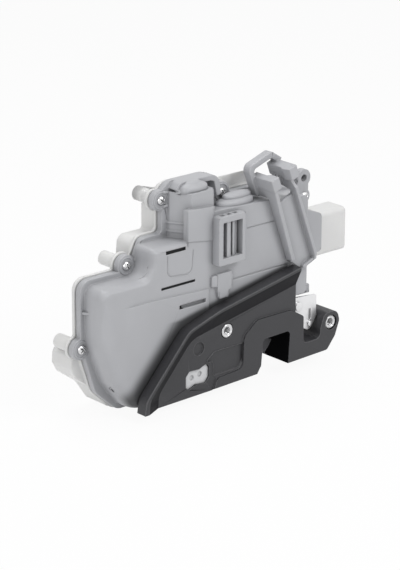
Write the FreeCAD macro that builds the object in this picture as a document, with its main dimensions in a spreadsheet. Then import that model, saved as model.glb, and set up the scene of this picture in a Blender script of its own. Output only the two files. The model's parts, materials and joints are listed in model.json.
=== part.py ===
import FreeCAD, Part
import math
import os
import re

import Sketcher

Vector = FreeCAD.Vector
Rotation = FreeCAD.Rotation

doc = FreeCAD.newDocument("DoorLatchActuator")
sheet = doc.addObject("Spreadsheet::Sheet", "Sizes")

# Millimetres. X runs along the unit, Y from the latch face to the back, Z up.
# The origin is the middle of the left fixing insert, on the latch face.
sizes = {
    # planes along Y
    "shellFace": 4.0,
    "towerFace": 6.0,
    "flangeFront": 19.5,
    "flangeThick": 4.0,
    "sealThick": 0.6,
    "coverRim": 2.0,
    "coverDepth": 15.0,
    "bulgeDepth": 19.0,
    "wall": 2.5,
    # clearances
    "runGap": 0.05,
    "freeGap": 0.4,
    "snugGap": 0.02,
    # outline of the shell, seen from the front
    "shellLeft": -88.5,
    "lowTop": 41.5,
    "stepLeft": -51.5,
    "shelfTop": 58.0,
    "padLeft": -26.5,
    "padTop": 76.0,
    "towerLeft": -28.5,
    "towerTop": 84.5,
    "towerRight": -4.5,
    "towerBevel": -21.9,
    "deckTop": 72.0,
    "deckLow": 67.0,
    "shellRight": 66.0,
    "shellBottom": -34.0,
    "slantHigh": 8.0,
    "slantMidX": -78.5,
    "slantMidZ": -17.0,
    "slantLowX": -66.0,
    "cornerX": -13.0,
    "underside": 2.0,
    "heelZ": 7.0,
    # flange round the shell
    "lip": 3.0,
    "rimTop": 91.5,
    "rimRight": 8.0,
    "deckRim": 75.0,
    "deckRimLow": 66.5,
    "columnLeft": 72.0,
    "columnRight": 81.0,
    "bossRadius": 6.2,
    "postRadius": 4.2,
    "postLength": 15.6,
    # five housing screws
    "screwHead": 2.7,
    "screwHeadTall": 1.8,
    "screwShank": 1.45,
    "screwLength": 14.0,
    "screwOneX": -33.0,
    "screwOneZ": 79.8,
    "screwTwoX": -58.3,
    "screwTwoZ": 46.9,
    "screwThreeX": -91.0,
    "screwThreeZ": 5.1,
    "screwFourX": 12.3,
    "screwFourZ": 76.0,
    "screwFiveX": 77.6,
    "screwFiveZ": 60.3,
    # eyelet on the column
    "eyeX": 77.4,
    "eyeZ": 71.5,
    "eyeRound": 5.3,
    "eyeHole": 2.1,
    # connector
    "plugLeft": 82.0,
    "plugRight": 116.5,
    "plugLow": 18.0,
    "plugHigh": 45.0,
    "plugDepth": 17.0,
    "plugWall": 2.0,
    "plugFloor": 91.0,
    "horn": 85.5,
    "hornFront": 12.0,
    "hornLow": 26.5,
    "hornHigh": 53.0,
    "bladeWide": 1.6,
    "bladeTall": 0.8,
    "bladePitch": 5.0,
    # latch housing and its flared skirt
    "skirtProud": 4.5,
    "skirtLeft": -65.0,
    "skirtRight": 53.8,
    "faceBottom": -34.5,
    "faceThick": 2.4,
    "blockLeft": -12.6,
    "blockBack": 19.0,
    "archTop": 1.5,
    "archProud": 1.0,
    "mouthLeft": 27.4,
    "mouthRight": 48.6,
    "mouthTop": -11.3,
    "sideWall": 2.2,
    "notchLeft": 59.6,
    "notchRight": 73.0,
    "notchBottom": -21.6,
    "lugX": 82.2,
    "lugZ": -14.0,
    "lugRound": 6.8,
    "insertRadius": 4.0,
    "insertBore": 2.5,
    "insertLength": 11.2,
    "insertGroove": 0.8,
    "bossWall": 1.4,
    "blankX": -21.5,
    "blankZ": -5.9,
    "blankRound": 3.9,
    # emergency lock rotor
    "rotorX": -22.5,
    "rotorZ": -22.8,
    "rotorRound": 9.6,
    "rotorSink": 1.2,
    "rotorThick": 1.7,
    "spindle": 3.0,
    # claw, pawl and their pins
    "clawX": 22.0,
    "clawZ": -7.3,
    "clawFront": 7.2,
    "clawThick": 5.4,
    "clawHub": 6.0,
    "clawReach": 21.6,
    "clawTravel": 42.0,
    "rimRound": 13.4,
    "notchRound": 11.2,
    "strikerX": 14.5,
    "strikerZ": -8.8,
    "strikerRound": 4.5,
    "clawPin": 3.0,
    "pawlX": 1.0,
    "pawlZ": -9.9,
    "pawlHub": 4.0,
    "pawlPin": 2.0,
    "pinSink": 1.2,
    "pinHead": 1.4,
    "plateThick": 2.0,
    "wireRound": 0.5,
    # release lever and its link
    "leverX": 60.2,
    "leverZ": -0.5,
    "leverFront": 4.9,
    "leverThick": 1.5,
    "leverPin": 1.7,
    "linkFront": 2.7,
    "linkThick": 1.4,
    "pegRound": 1.2,
    # drive inside the shell
    "motorX": -16.2,
    "motorY": 17.8,
    "motorRadius": 9.0,
    "motorLow": 57.8,
    "motorHigh": 80.5,
    "shaftRadius": 1.2,
    "wormPitch": 3.14159,
    "wormCore": 2.4,
    "wormRound": 4.3,
    "wormTurns": 4,
    "wheelX": -31.85,
    "wheelZ": 40.0,
    "wheelThick": 3.0,
    "wheelTeeth": 24,
    "pinionTeeth": 10,
    "sectorPitch": 9.0,
    "sectorTeeth": 7,
    "sectorFront": 9.0,
    "sectorThick": 3.4,
    "leverPivotX": -40.43,
    "leverPivotZ": 16.41,
    "axleRadius": 1.8,
    # guide frame on the shell's face
    "frameLeft": -8.3,
    "frameRight": 11.6,
    "frameLow": 40.6,
    "frameHigh": 69.4,
    "frameProud": 6.0,
    "frameWall": 3.2,
    # cable bracket, in its own leaning frame
    "bracketX": 58.5,
    "bracketZ": 26.0,
    "bracketLean": 20.5,
    "channelLeft": -6.8,
    "channelRight": 11.6,
    "channelTop": 45.0,
    "channelWall": 2.0,
}
for row, (name, number) in enumerate(sizes.items(), 1):
    sheet.set("A%d" % row, str(number))
    sheet.setAlias("A%d" % row, name)
doc.recompute()


def size(formula):
    """The value of a formula in the sheet's names, in millimetres or degrees."""
    return float(sheet.evalExpression(str(formula)))


def bound(formula):
    """The same formula as an object outside the sheet writes it."""
    return re.sub(r"[A-Za-z]\w*", lambda word: "Sizes." + word.group() if word.group() in sizes else word.group(),
                  str(formula))


parting = "flangeFront + flangeThick"
coverFront = parting + " + sealThick"
coverBack = coverFront + " + coverDepth"


# Sketches

def plane_of(body, role):
    return [feature for feature in body.Origin.OriginFeatures if feature.Role == role][0]


def pin_point(sketch, shape, end, x, z):
    for kind, formula in (("DistanceX", x), ("DistanceY", z)):
        place = sketch.addConstraint(Sketcher.Constraint(kind, -1, 1, shape, end, size(formula)))
        sketch.setExpression("Constraints[%d]" % place, bound(formula))


def draw_outline(sketch, corners):
    """A closed outline; a corner's third value, where it has one, rounds it."""
    points = [Vector(size(corner[0]), size(corner[1]), 0) for corner in corners]
    rounds = [size(corner[2]) if len(corner) > 2 else 0.0 for corner in corners]
    count = len(points)
    arrive, leave, centres, turns = [], [], [], []
    for i in range(count):
        before = (points[i - 1] - points[i]).normalize()
        after = (points[(i + 1) % count] - points[i]).normalize()
        half = before.getAngle(after) / 2
        reach = rounds[i] / math.tan(half)
        arrive.append(points[i] + before * reach)
        leave.append(points[i] + after * reach)
        middle = before + after
        if rounds[i]:
            middle.normalize()
        centres.append(points[i] + middle * (rounds[i] / math.sin(half)))
        turns.append(after.cross(before).z > 0)
    lines = []
    for i in range(count):
        lines.append(sketch.addGeometry(Part.LineSegment(leave[i], arrive[(i + 1) % count]), False))
    for i in range(count):
        if not rounds[i]:
            sketch.addConstraint(Sketcher.Constraint("Coincident", lines[i - 1], 2, lines[i], 1))
            pin_point(sketch, lines[i], 1, corners[i][0], corners[i][1])
            continue
        ends = (arrive[i], leave[i]) if turns[i] else (leave[i], arrive[i])
        angles = [math.atan2(end.y - centres[i].y, end.x - centres[i].x) for end in ends]
        circle = Part.Circle(centres[i], Vector(0, 0, 1), rounds[i])
        arc = sketch.addGeometry(Part.ArcOfCircle(circle, angles[0], angles[1]), False)
        first, last = (1, 2) if turns[i] else (2, 1)
        sketch.addConstraint(Sketcher.Constraint("Tangent", lines[i - 1], 2, arc, first))
        sketch.addConstraint(Sketcher.Constraint("Tangent", arc, last, lines[i], 1))
        radius = sketch.addConstraint(Sketcher.Constraint("Radius", arc, rounds[i]))
        sketch.setExpression("Constraints[%d]" % radius, bound(corners[i][2]))
        corner = sketch.addGeometry(Part.Point(points[i]), True)
        sketch.addConstraint(Sketcher.Constraint("PointOnObject", corner, 1, lines[i - 1]))
        sketch.addConstraint(Sketcher.Constraint("PointOnObject", corner, 1, lines[i]))
        pin_point(sketch, corner, 1, corners[i][0], corners[i][1])


def bend(corners, steps=3):
    """The same outline with each rounding as a few straight chords."""
    points = [Vector(size(corner[0]), size(corner[1]), 0) for corner in corners]
    chords = []
    for i, corner in enumerate(corners):
        if len(corner) < 3:
            chords.append((points[i].x, points[i].y))
            continue
        before = (points[i - 1] - points[i]).normalize()
        after = (points[(i + 1) % len(points)] - points[i]).normalize()
        reach = size(corner[2]) / math.tan(before.getAngle(after) / 2)
        for step in range(steps + 1):
            part = step / steps
            spot = points[i] + before * (reach * (1 - part) ** 2) + after * (reach * part ** 2)
            chords.append((round(spot.x, 3), round(spot.y, 3)))
    return chords


def inset(corners, shifts):
    """The outline with each side moved inwards by its own distance."""
    points = [Vector(size(corner[0]), size(corner[1]), 0) for corner in corners]
    sides = []
    for i, shift in enumerate(shifts):
        along = (points[(i + 1) % len(points)] - points[i]).normalize()
        sides.append((points[i] + Vector(-along.y, along.x, 0) * shift, along))
    moved = []
    for i, (start, along) in enumerate(sides):
        other, across = sides[i - 1]
        reach = (start - other).cross(across).z / across.cross(along).z
        spot = start + along * reach
        moved.append((spot.x, spot.y) + tuple(corners[i][2:]))
    return moved


def draw_circle(sketch, x, z, radius):
    centre = Vector(size(x), size(z), 0)
    circle = sketch.addGeometry(Part.Circle(centre, Vector(0, 0, 1), size(radius)), False)
    pin_point(sketch, circle, 3, x, z)
    place = sketch.addConstraint(Sketcher.Constraint("Radius", circle, size(radius)))
    sketch.setExpression("Constraints[%d]" % place, bound(radius))


def new_sketch(body, name, offset, outlines=(), circles=(), role="XZ_Plane"):
    """A sketch on one of the body's planes, moved along that plane's own normal."""
    sketch = body.newObject("Sketcher::SketchObject", name)
    sketch.AttachmentSupport = (plane_of(body, role), [""])
    sketch.MapMode = "FlatFace"
    sketch.setExpression("AttachmentOffset.Base.z", bound(offset))
    for corners in outlines:
        draw_outline(sketch, corners)
    for x, z, radius in circles:
        draw_circle(sketch, x, z, radius)
    return sketch


# Features of a body. A sketch seen from the front has its normal towards -Y.

def grow(body, name, start, end, outlines=(), circles=(), role="XZ_Plane"):
    """A pad between two planes: from start to end along Y, or along the plane's normal."""
    front = role == "XZ_Plane"
    offset = "-(%s)" % start if front else start
    pad = body.newObject("PartDesign::Pad", name)
    pad.Profile = new_sketch(body, name + "Sketch", offset, outlines, circles, role)
    pad.setExpression("Length", bound("(%s) - (%s)" % (end, start)))
    pad.Reversed = front
    body.Tip = pad
    return pad


def carve(body, name, start, end, outlines=(), circles=(), role="XZ_Plane"):
    """A pocket between two planes, in the same way."""
    front = role == "XZ_Plane"
    offset = "-(%s)" % start if front else start
    pocket = body.newObject("PartDesign::Pocket", name)
    pocket.Profile = new_sketch(body, name + "Sketch", offset, outlines, circles, role)
    pocket.setExpression("Length", bound("(%s) - (%s)" % (end, start)))
    pocket.Reversed = not front
    body.Tip = pocket
    return pocket


def round_edges(body, name, radius, wanted):
    """A fillet on the edges of the body so far that the test wants."""
    doc.recompute()
    base = body.Tip
    edges = ["Edge%d" % i for i, edge in enumerate(base.Shape.Edges, 1) if wanted(edge)]
    fillet = body.newObject("PartDesign::Fillet", name)
    fillet.Base = (base, edges)
    fillet.setExpression("Radius", bound(radius))
    body.Tip = fillet
    return fillet


def new_body(label):
    body = doc.addObject("PartDesign::Body", label)
    body.Label = label
    return body


def rectangle(left, low, right, high, corner=None):
    corners = [(left, low), (right, low), (right, high), (left, high)]
    if corner is None:
        return corners
    return [(x, z, corner) for x, z in corners]


# Part primitives

def place(shape, x, y, z, towards=None):
    if towards is not None:
        shape.Placement = FreeCAD.Placement(Vector(), Rotation(Vector(0, 0, 1), towards))
    for axis, formula in zip("xyz", (x, y, z)):
        shape.setExpression("Placement.Base." + axis, bound(formula))


def cylinder(name, radius, length, x, y, z, towards=Vector(0, 1, 0)):
    shape = doc.addObject("Part::Cylinder", name)
    shape.setExpression("Radius", bound(radius))
    shape.setExpression("Height", bound(length))
    place(shape, x, y, z, towards)
    return shape


def block(name, wide, deep, tall, x, y, z):
    shape = doc.addObject("Part::Box", name)
    shape.setExpression("Length", bound(wide))
    shape.setExpression("Width", bound(deep))
    shape.setExpression("Height", bound(tall))
    place(shape, x, y, z)
    return shape


def fuse(label, shapes):
    shape = doc.addObject("Part::MultiFuse", label)
    shape.Shapes = shapes
    shape.Label = label
    return shape


def cut(label, base, tool):
    shape = doc.addObject("Part::Cut", label)
    shape.Base = base
    shape.Tool = tool
    shape.Label = label
    return shape


def group(label, shapes):
    shape = doc.addObject("Part::Compound", label)
    shape.Links = shapes
    shape.Label = label
    return shape


nodes = []
screws = [("screwOneX", "screwOneZ"), ("screwTwoX", "screwTwoZ"), ("screwThreeX", "screwThreeZ"),
          ("screwFourX", "screwFourZ"), ("screwFiveX", "screwFiveZ")]


# The outline that flange, seal and cover share, from the bottom left corner round

def flange_outline(out="0"):
    """The flange's edge, or one a little outside or inside it."""
    left = "shellLeft - lip - (%s)" % out
    base = "shellBottom - lip - (%s)" % out
    step = "stepLeft - lip - (%s)" % out
    tower = "towerLeft - lip - 1 - (%s)" % out
    return [
        ("slantLowX", base, 9),
        ("slantMidX - lip", "slantMidZ - 2 * lip - (%s)" % out, 12),
        (left, "slantHigh", 20),
        (left, "lowTop + lip + (%s)" % out, 7),
        (step, "lowTop + lip + (%s)" % out, 3),
        ("stepLeft + 4", "shelfTop + lip - 0.5 + (%s)" % out, 5),
        (tower, "shelfTop + lip - 0.5 + (%s)" % out, 3),
        (tower, "rimTop + (%s)" % out, 8),
        ("rimRight + (%s)" % out, "rimTop + (%s)" % out, 11),
        ("rimRight + (%s)" % out, "deckRim + (%s)" % out, 3),
        ("shellRight - 25", "deckRim + (%s)" % out, 12),
        ("columnLeft", "deckRimLow + (%s)" % out, 2),
        ("columnLeft", "eyeZ"),
        ("columnRight + (%s)" % out, "eyeZ"),
        ("columnRight + (%s)" % out, "underside", 1.5),
        ("cornerX", "underside", 3),
        ("cornerX", base, 2),
    ]


# Front housing: flange, stepped shell, hollow behind

housing = new_body("front_housing")
grow(housing, "Flange", "flangeFront", parting, [flange_outline()])
for i, (x, z) in enumerate(screws, 1):
    grow(housing, "Boss%d" % i, "flangeFront", parting, circles=[(x, z, "bossRadius" if i < 5 else "eyeRound - 0.6")])
grow(housing, "Ear", "flangeFront", parting, circles=[("eyeX", "eyeZ", "eyeRound")])
grow(housing, "LowBlock", "shellFace", "flangeFront + 1", [[
    ("slantLowX", "shellBottom", 8),
    ("slantMidX", "slantMidZ", 12),
    ("shellLeft", "slantHigh", 20),
    ("shellLeft", "lowTop", 6),
    ("stepLeft", "lowTop", 9),
    ("stepLeft", "shelfTop", 3),
    ("shellRight", "shelfTop"),
    ("shellRight", "heelZ", 2),
    ("cornerX", "heelZ", 2),
    ("cornerX", "shellBottom"),
]])
grow(housing, "Deck", "shellFace", "flangeFront + 1", [[
    ("towerRight - 2", "shelfTop - 1"),
    ("shellRight", "shelfTop - 1"),
    ("shellRight", "deckLow", 3),
    ("shellRight - 32", "deckTop - 2", 20),
    ("towerRight - 2", "deckTop"),
]])
grow(housing, "TowerPad", "shellFace", "towerFace + 2",
     [[("padLeft", "shelfTop - 1"), ("towerRight - 2", "shelfTop - 1"), ("towerRight - 2", "padTop - 1"),
       ("padLeft", "padTop")]])
grow(housing, "Tower", "shelfTop - 1", "towerTop", [[
    ("towerLeft", "flangeFront + 1"),
    ("towerLeft", "flangeFront - 2"),
    ("towerBevel", "towerFace"),
    ("towerRight", "towerFace", 2),
    ("towerRight", "flangeFront + 1"),
]], role="XY_Plane")
round_edges(housing, "ShellEdges", 2.5, lambda edge: all(
    abs(v.Y - size("shellFace")) < 0.01 for v in edge.Vertexes)
    and edge.BoundBox.XMax < size("stepLeft + 0.2") and edge.BoundBox.ZMax < size("shelfTop - 0.5"))
for i, z in enumerate(("padTop - 10", "padTop - 15"), 1):
    grow(housing, "TowerRib%d" % i, z, z + " + 1.4", [[
        ("towerLeft - 0.8", "flangeFront + 1"),
        ("towerLeft - 0.8", "flangeFront - 2"),
        ("towerBevel - 0.8", "towerFace + 0.6"),
        ("towerBevel + 1", "towerFace + 0.6"),
        ("towerBevel + 1", "flangeFront + 1"),
    ]], role="XY_Plane")
grow(housing, "CrownRim", "flangeFront - 6.5", "flangeFront + 1", [[
    ("towerLeft", "rimTop - 5", 2),
    ("towerLeft + 4", "rimTop", 4),
    ("rimRight - 4", "rimTop", 6),
    ("rimRight - 1.5", "deckRim + 2", 1),
    ("rimRight - 5", "deckRim + 2", 1),
    ("rimRight - 7.5", "rimTop - 3", 4),
    ("towerLeft + 6", "rimTop - 3", 2),
    ("towerLeft + 4", "rimTop - 7", 1),
]])
for i, (x, y, radius, z) in enumerate((("motorX - 1", 13, 5, 3.5), ("motorX + 7", 15, 3, 2.2),
                                       ("motorX - 7", 14, 3, 2)), 1):
    grow(housing, "Dome%d" % i, "towerTop - 1", "towerTop + %s" % z, circles=[(x, y, radius)], role="XY_Plane")
for i in range(3):
    grow(housing, "DeckWave%d" % (i + 1), "shellFace + 2.5", "flangeFront - 3.5",
         [rectangle("towerRight + %s" % (7 + 8 * i), "deckTop - 4", "towerRight + %s" % (14 + 8 * i),
                    "deckTop + 2.5", 2)])
grow(housing, "Horn", "hornFront", "flangeFront + 1", [[
    ("shellRight - 2", "hornLow", 2),
    ("horn", "hornLow", 3),
    ("horn", "hornHigh - 3", 4),
    ("horn - 8", "hornHigh"),
    ("shellRight - 2", "hornHigh + 6"),
]])
grow(housing, "Foot", "hornFront + 2", "flangeFront + 1",
     [rectangle("columnLeft - 4", "underside", "columnRight - 3", "heelZ + 0.5", 1)])
grow(housing, "LowFront", "shellFace - 1", "shellFace + 1", [[
    ("shellLeft + 12", "shellBottom + 13", 6),
    ("slantLowX + 6", "shellBottom + 2", 6),
    ("cornerX - 1", "shellBottom + 2"),
    ("cornerX - 1", "heelZ"),
    ("towerRight - 7", "heelZ"),
    ("towerRight - 7", "shelfTop - 31"),
    ("stepLeft", "slantHigh + 21"),
    ("shellLeft + 5", "slantHigh + 21", 3),
    ("shellLeft + 5", "slantHigh", 10),
]])
carve(housing, "DeepRoom", "shellFace + wall", parting, [[
    ("slantLowX + 1.5", "shellBottom + wall", 6),
    ("slantMidX + wall", "slantMidZ + 1", 9),
    ("shellLeft + wall", "slantHigh", 17),
    ("shellLeft + wall", "lowTop - wall", 3.5),
    ("stepLeft + wall", "lowTop - wall", 3),
    ("stepLeft + wall", "shelfTop - wall", 2),
    ("shellRight - wall", "shelfTop - wall"),
    ("shellRight - wall", "heelZ + wall", 1),
    ("cornerX - wall", "heelZ + wall", 1),
    ("cornerX - wall", "shellBottom + wall", 1),
]])
carve(housing, "MotorRoom", "shelfTop - wall - 1", "towerTop - wall", [[
    ("motorX - motorRadius - 0.3", parting),
    ("motorX - motorRadius - 0.3", "towerFace + wall + 6.4"),
    ("towerBevel + 0.1", "towerFace + wall"),
    ("motorX + motorRadius + 0.3", "towerFace + wall"),
    ("motorX + motorRadius + 0.3", parting),
]], role="XY_Plane")
carve(housing, "DeckRoom", "shellFace + wall", parting, [[
    ("towerRight + wall", "shelfTop - wall - 1"),
    ("shellRight - wall", "shelfTop - wall - 1"),
    ("shellRight - wall", "deckLow - wall"),
    ("shellRight - 32", "deckTop - wall - 2"),
    ("towerRight + wall", "deckTop - wall"),
]])
carve(housing, "HornRoom", "hornFront + wall", parting,
      [rectangle("shellRight - wall - 1", "hornLow + wall", "columnRight - wall", "hornHigh - wall", 1)])
for i, (x, z) in enumerate((("wheelX", "wheelZ"), ("leverPivotX", "leverPivotZ")), 1):
    grow(housing, "Bearing%d" % i, "shellFace + wall - 0.5", "sectorFront - 0.4", circles=[(x, z, "axleRadius + 2")])
    carve(housing, "AxleBore%d" % i, "shellFace + wall - 1", "sectorFront", circles=[(x, z, "axleRadius + snugGap")])
for i, (x, z) in enumerate(screws, 1):
    carve(housing, "ScrewHole%d" % i, "flangeFront - 0.5", parting, circles=[(x, z, "screwShank + runGap + 0.1")])
carve(housing, "EyeHole", "flangeFront - 0.5", parting, circles=[("eyeX", "eyeZ", "eyeHole")])
carve(housing, "SpindleBore", "shellFace - 1.5", "shellFace + wall + 0.5",
      circles=[("rotorX", "rotorZ", "spindle + runGap")])
slots = (("stepLeft + 9", "shelfTop - 4.3", "padLeft - 1.5", "shelfTop - 2.3"),
         ("stepLeft + 5.6", "shelfTop - 24.6", "padLeft + 5.6", "shelfTop - 23.2"),
         ("padLeft - 6.7", "shelfTop - 38.4", "towerRight - 9.1", "shelfTop - 36"))
for i, corners in enumerate(slots, 1):
    carve(housing, "Slot%d" % i, "shellFace - 1", "shellFace + 1.5", [rectangle(*corners)])
for i, corners in enumerate((("towerRight + 22.8", "shelfTop - 1.6", "towerRight + 44", "shelfTop - 1"),
                             ("towerRight + 12.3", "shelfTop - 30", "towerRight + 56", "shelfTop - 29.4")), 1):
    carve(housing, "Groove%d" % i, "shellFace - 0.5", "shellFace + 0.6", [rectangle(*corners)])
grow(housing, "TabWide", "shellFace - 2", "shellFace + 0.5",
     [rectangle("frameLeft + 2.7", "frameLow - 17", "frameRight - 6.5", "frameLow - 6")])
grow(housing, "TabNarrow", "shellFace - 2", "shellFace + 0.5",
     [rectangle("frameLeft + 4.3", "frameLow - 21", "frameRight - 9", "frameLow - 16.5")])
nodes.append(housing)


# Seal and rear cover

seal = new_body("housing_seal")
grow(seal, "Band", parting, coverFront, [flange_outline("-0.8")])
for i, (x, z) in enumerate(screws, 1):
    grow(seal, "Lobe%d" % i, parting, coverFront, circles=[(x, z, "bossRadius - 1.6")])
carve(seal, "Inside", parting, coverFront, [flange_outline("-2.6")])
for i, (x, z) in enumerate(screws, 1):
    carve(seal, "Hole%d" % i, parting, coverFront, circles=[(x, z, "screwShank + runGap + 0.4")])
nodes.append(seal)

cover = new_body("rear_cover")
grow(cover, "Plate", coverFront, coverFront + " + coverRim", [flange_outline("0.7")])
for i, (x, z) in enumerate(screws, 1):
    grow(cover, "Boss%d" % i, coverFront, coverFront + " + coverRim",
         circles=[(x, z, "bossRadius + 0.7" if i < 5 else "eyeRound")])
    grow(cover, "Post%d" % i, coverFront + " + coverRim - 0.5", coverFront + " + postLength",
         circles=[(x, z, "postRadius" if i < 5 else "postRadius - 0.8")])
tub = [
    ("cornerX", "shellBottom - lip + 0.5", 2),
    ("cornerX", "underside + 0.5", 3),
    ("columnRight + 0.5", "underside + 0.5", 3),
    ("columnRight + 0.5", "deckRimLow - 8", 5),
    ("shellRight", "deckLow - 1", 4),
    ("shellRight - 32", "deckTop - 2", 20),
    ("rimRight - 1", "deckTop + 1", 3),
    ("rimRight - 1", "rimTop - 1", 8),
    ("towerLeft - 2.6", "rimTop - 1", 5),
    ("towerLeft - 2.6", "shelfTop + 0.6", 2),
    ("stepLeft + 2.5", "shelfTop + 0.6", 5),
    ("stepLeft + 1", "lowTop", 4),
    ("stepLeft - 6", "slantHigh + 8", 8),
    ("slantLowX - 3", "shellBottom - lip + 0.5", 6),
]
grow(cover, "Tub", coverFront + " + coverRim - 0.5", coverBack, [tub])
grow(cover, "Bulge", coverFront + " + coverRim - 0.5", coverFront + " + bulgeDepth", [[
    ("slantLowX - 2.6", "shellBottom - 2.5", 5),
    ("slantMidX + 1", "slantMidZ - 6.5", 6),
    ("shellLeft - 2", "slantMidZ + 3", 6),
    ("shellLeft - 5.2", "slantHigh - 16", 5),
    ("shellLeft - 4.6", "slantHigh - 7.5", 4),
    ("shellLeft + 6", "slantHigh - 6", 5),
    ("stepLeft - 2", "slantHigh + 2", 6),
    ("stepLeft + 12", "slantHigh", 6),
    ("stepLeft + 12", "shellBottom - 2.5", 5),
]])
grow(cover, "SideBox", coverFront + " + coverRim - 0.5", coverFront + " + 11",
     [rectangle("screwFourX + 1.7", "deckTop", "screwFourX + 25.7", "deckTop + 11", 2)])
carve(cover, "Room", coverFront, coverBack + " - wall", [[
    ("cornerX - wall", "shellBottom + wall", 1),
    ("cornerX - wall", "heelZ + wall", 1),
    ("columnRight - wall", "heelZ + wall", 1),
    ("columnRight - wall", "deckRimLow - 13", 3),
    ("shellRight - wall - 2", "deckLow - wall - 2", 2),
    ("towerRight + wall + 2", "deckTop - wall - 2", 2),
    ("towerRight", "towerTop - wall", 2),
    ("towerLeft + wall", "towerTop - wall", 2),
    ("towerLeft + wall", "shelfTop - wall", 2),
    ("stepLeft + wall + 3", "shelfTop - wall", 2),
    ("stepLeft + wall + 2", "lowTop + 1", 2),
    ("stepLeft - 2.5", "slantHigh + 9", 4),
    ("slantLowX + 2", "shellBottom + wall + 2", 4),
]])
for i, (x, z) in enumerate((("wheelX", "wheelZ"), ("leverPivotX", "leverPivotZ")), 1):
    grow(cover, "Bearing%d" % i, "flangeFront + 5", coverBack + " - wall + 0.5", circles=[(x, z, "axleRadius + 2")])
    carve(cover, "AxleBore%d" % i, "flangeFront + 4", coverBack + " - wall - 2",
          circles=[(x, z, "axleRadius + snugGap")])
for i, z in enumerate(("motorLow + 4", "motorHigh - 6"), 1):
    grow(cover, "Saddle%d" % i, "motorY + motorRadius + 0.2", coverBack + " - wall + 0.5",
         [rectangle("motorX - 8", z, "motorX + 8", z + " + 2")])
for i, (x, z) in enumerate(screws, 1):
    carve(cover, "Thread%d" % i, coverFront, coverFront + " + 11.5", circles=[(x, z, "screwShank + snugGap")])
carve(cover, "PlugWindow", "plugFloor - 16", "plugFloor", [[
    (coverFront + " + coverRim + 1.5", "plugLow + 5"),
    (coverBack + " - wall - 1", "plugLow + 5"),
    (coverBack + " - wall - 1", "plugHigh - 5"),
    (coverFront + " + coverRim + 1.5", "plugHigh - 5"),
]], role="YZ_Plane")
nodes.append(cover)


# Five housing screws with cross recesses

screw_shapes = []
for i, (x, z) in enumerate(screws, 1):
    head = cylinder("ScrewHead%d" % i, "screwHead", "screwHeadTall - 0.8", x, "flangeFront - screwHeadTall + 0.8", z)
    dome = doc.addObject("Part::Cone", "ScrewDome%d" % i)
    dome.setExpression("Radius1", bound("screwHead - 0.9"))
    dome.setExpression("Radius2", bound("screwHead"))
    dome.setExpression("Height", "0.8")
    place(dome, x, "flangeFront - screwHeadTall", z, Vector(0, 1, 0))
    shank = cylinder("ScrewShank%d" % i, "screwShank", "screwLength", x, "flangeFront - 0.2", z)
    whole = fuse("ScrewWhole%d" % i, [head, dome, shank])
    across = block("CrossWide%d" % i, 2.6, 1.1, 0.6, x + " - 1.3", "flangeFront - screwHeadTall - 0.1", z + " - 0.3")
    along = block("CrossTall%d" % i, 0.6, 1.1, 2.6, x + " - 0.3", "flangeFront - screwHeadTall - 0.1", z + " - 1.3")
    screw_shapes.append(cut("Screw%d" % i, whole, fuse("Cross%d" % i, [across, along])))
nodes.append(group("housing_screws", screw_shapes))


# Connector: box with its socket to the right, and its blades

plug = new_body("connector_housing")
plugFront = coverFront + " - 0.4"
plug_corners = [(plugFront, "plugLow", 3), (plugFront + " + plugDepth", "plugLow", 3),
                (plugFront + " + plugDepth", "plugHigh", 3), (plugFront, "plugHigh", 3)]
grow(plug, "Box", "plugLeft", "plugRight", [plug_corners], role="YZ_Plane")
carve(plug, "Socket", "plugFloor", "plugRight", [[
    (plugFront + " + plugWall", "plugLow + plugWall", 1.5),
    (plugFront + " + plugDepth - plugWall", "plugLow + plugWall", 1.5),
    (plugFront + " + plugDepth - plugWall", "plugHigh - plugWall", 1.5),
    (plugFront + " + plugWall", "plugHigh - plugWall", 1.5),
]], role="YZ_Plane")
blades = []
for y in ("3.9", "9.1"):
    for i in range(4):
        low = "(plugLow + plugHigh) / 2 + bladePitch * %s" % (i - 1.5)
        front = plugFront + " + plugWall + " + y
        blades.append((front, low))
for i, (y, z) in enumerate(blades, 1):
    carve(plug, "BladeSlot%d" % i, "plugLeft", "plugFloor", [[
        (y + " - bladeTall / 2 - snugGap", z + " - bladeWide / 2 - snugGap"),
        (y + " + bladeTall / 2 + snugGap", z + " - bladeWide / 2 - snugGap"),
        (y + " + bladeTall / 2 + snugGap", z + " + bladeWide / 2 + snugGap"),
        (y + " - bladeTall / 2 - snugGap", z + " + bladeWide / 2 + snugGap"),
    ]], role="YZ_Plane")
nodes.append(plug)
nodes.append(group("connector_pins", [
    block("Blade%d" % i, "plugRight - plugLeft - 3", "bladeTall", "bladeWide", "plugLeft - 3",
          y + " - bladeTall / 2", z + " - bladeWide / 2") for i, (y, z) in enumerate(blades, 1)]))


# Guide frame on the shell's face

frame = new_body("guide_frame")
frameFront = "shellFace - frameProud"
grow(frame, "Outer", frameFront, "shellFace", [rectangle("frameLeft", "frameLow", "frameRight", "frameHigh", 0.6)])
carve(frame, "Window", frameFront, "shellFace",
      [rectangle("frameLeft + frameWall", "frameLow + frameWall + 1", "frameRight - frameWall + 1",
                 "frameHigh - frameWall - 0.5")])
for i, (left, right, front) in enumerate(((-1.6, 1.2, 1.0), (3.4, 5.2, 2.0), (6.4, 7.4, 3.0)), 1):
    grow(frame, "Bar%d" % i, frameFront + " + %s" % front, "shellFace",
         [rectangle(left, "frameLow + frameWall", right, "frameHigh - frameWall")])
for i in range(3):
    carve(frame, "TopHole%d" % (i + 1), "frameHigh - 1.5", "frameHigh",
          [rectangle("frameLeft + %s" % (3.5 + 4.8 * i), frameFront + " + 2.2", "frameLeft + %s" % (6.5 + 4.8 * i),
                     "shellFace - 1")], role="XY_Plane")
nodes.append(frame)


# Cable bracket: channel, prongs and loop, modelled upright and then leaned over

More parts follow.
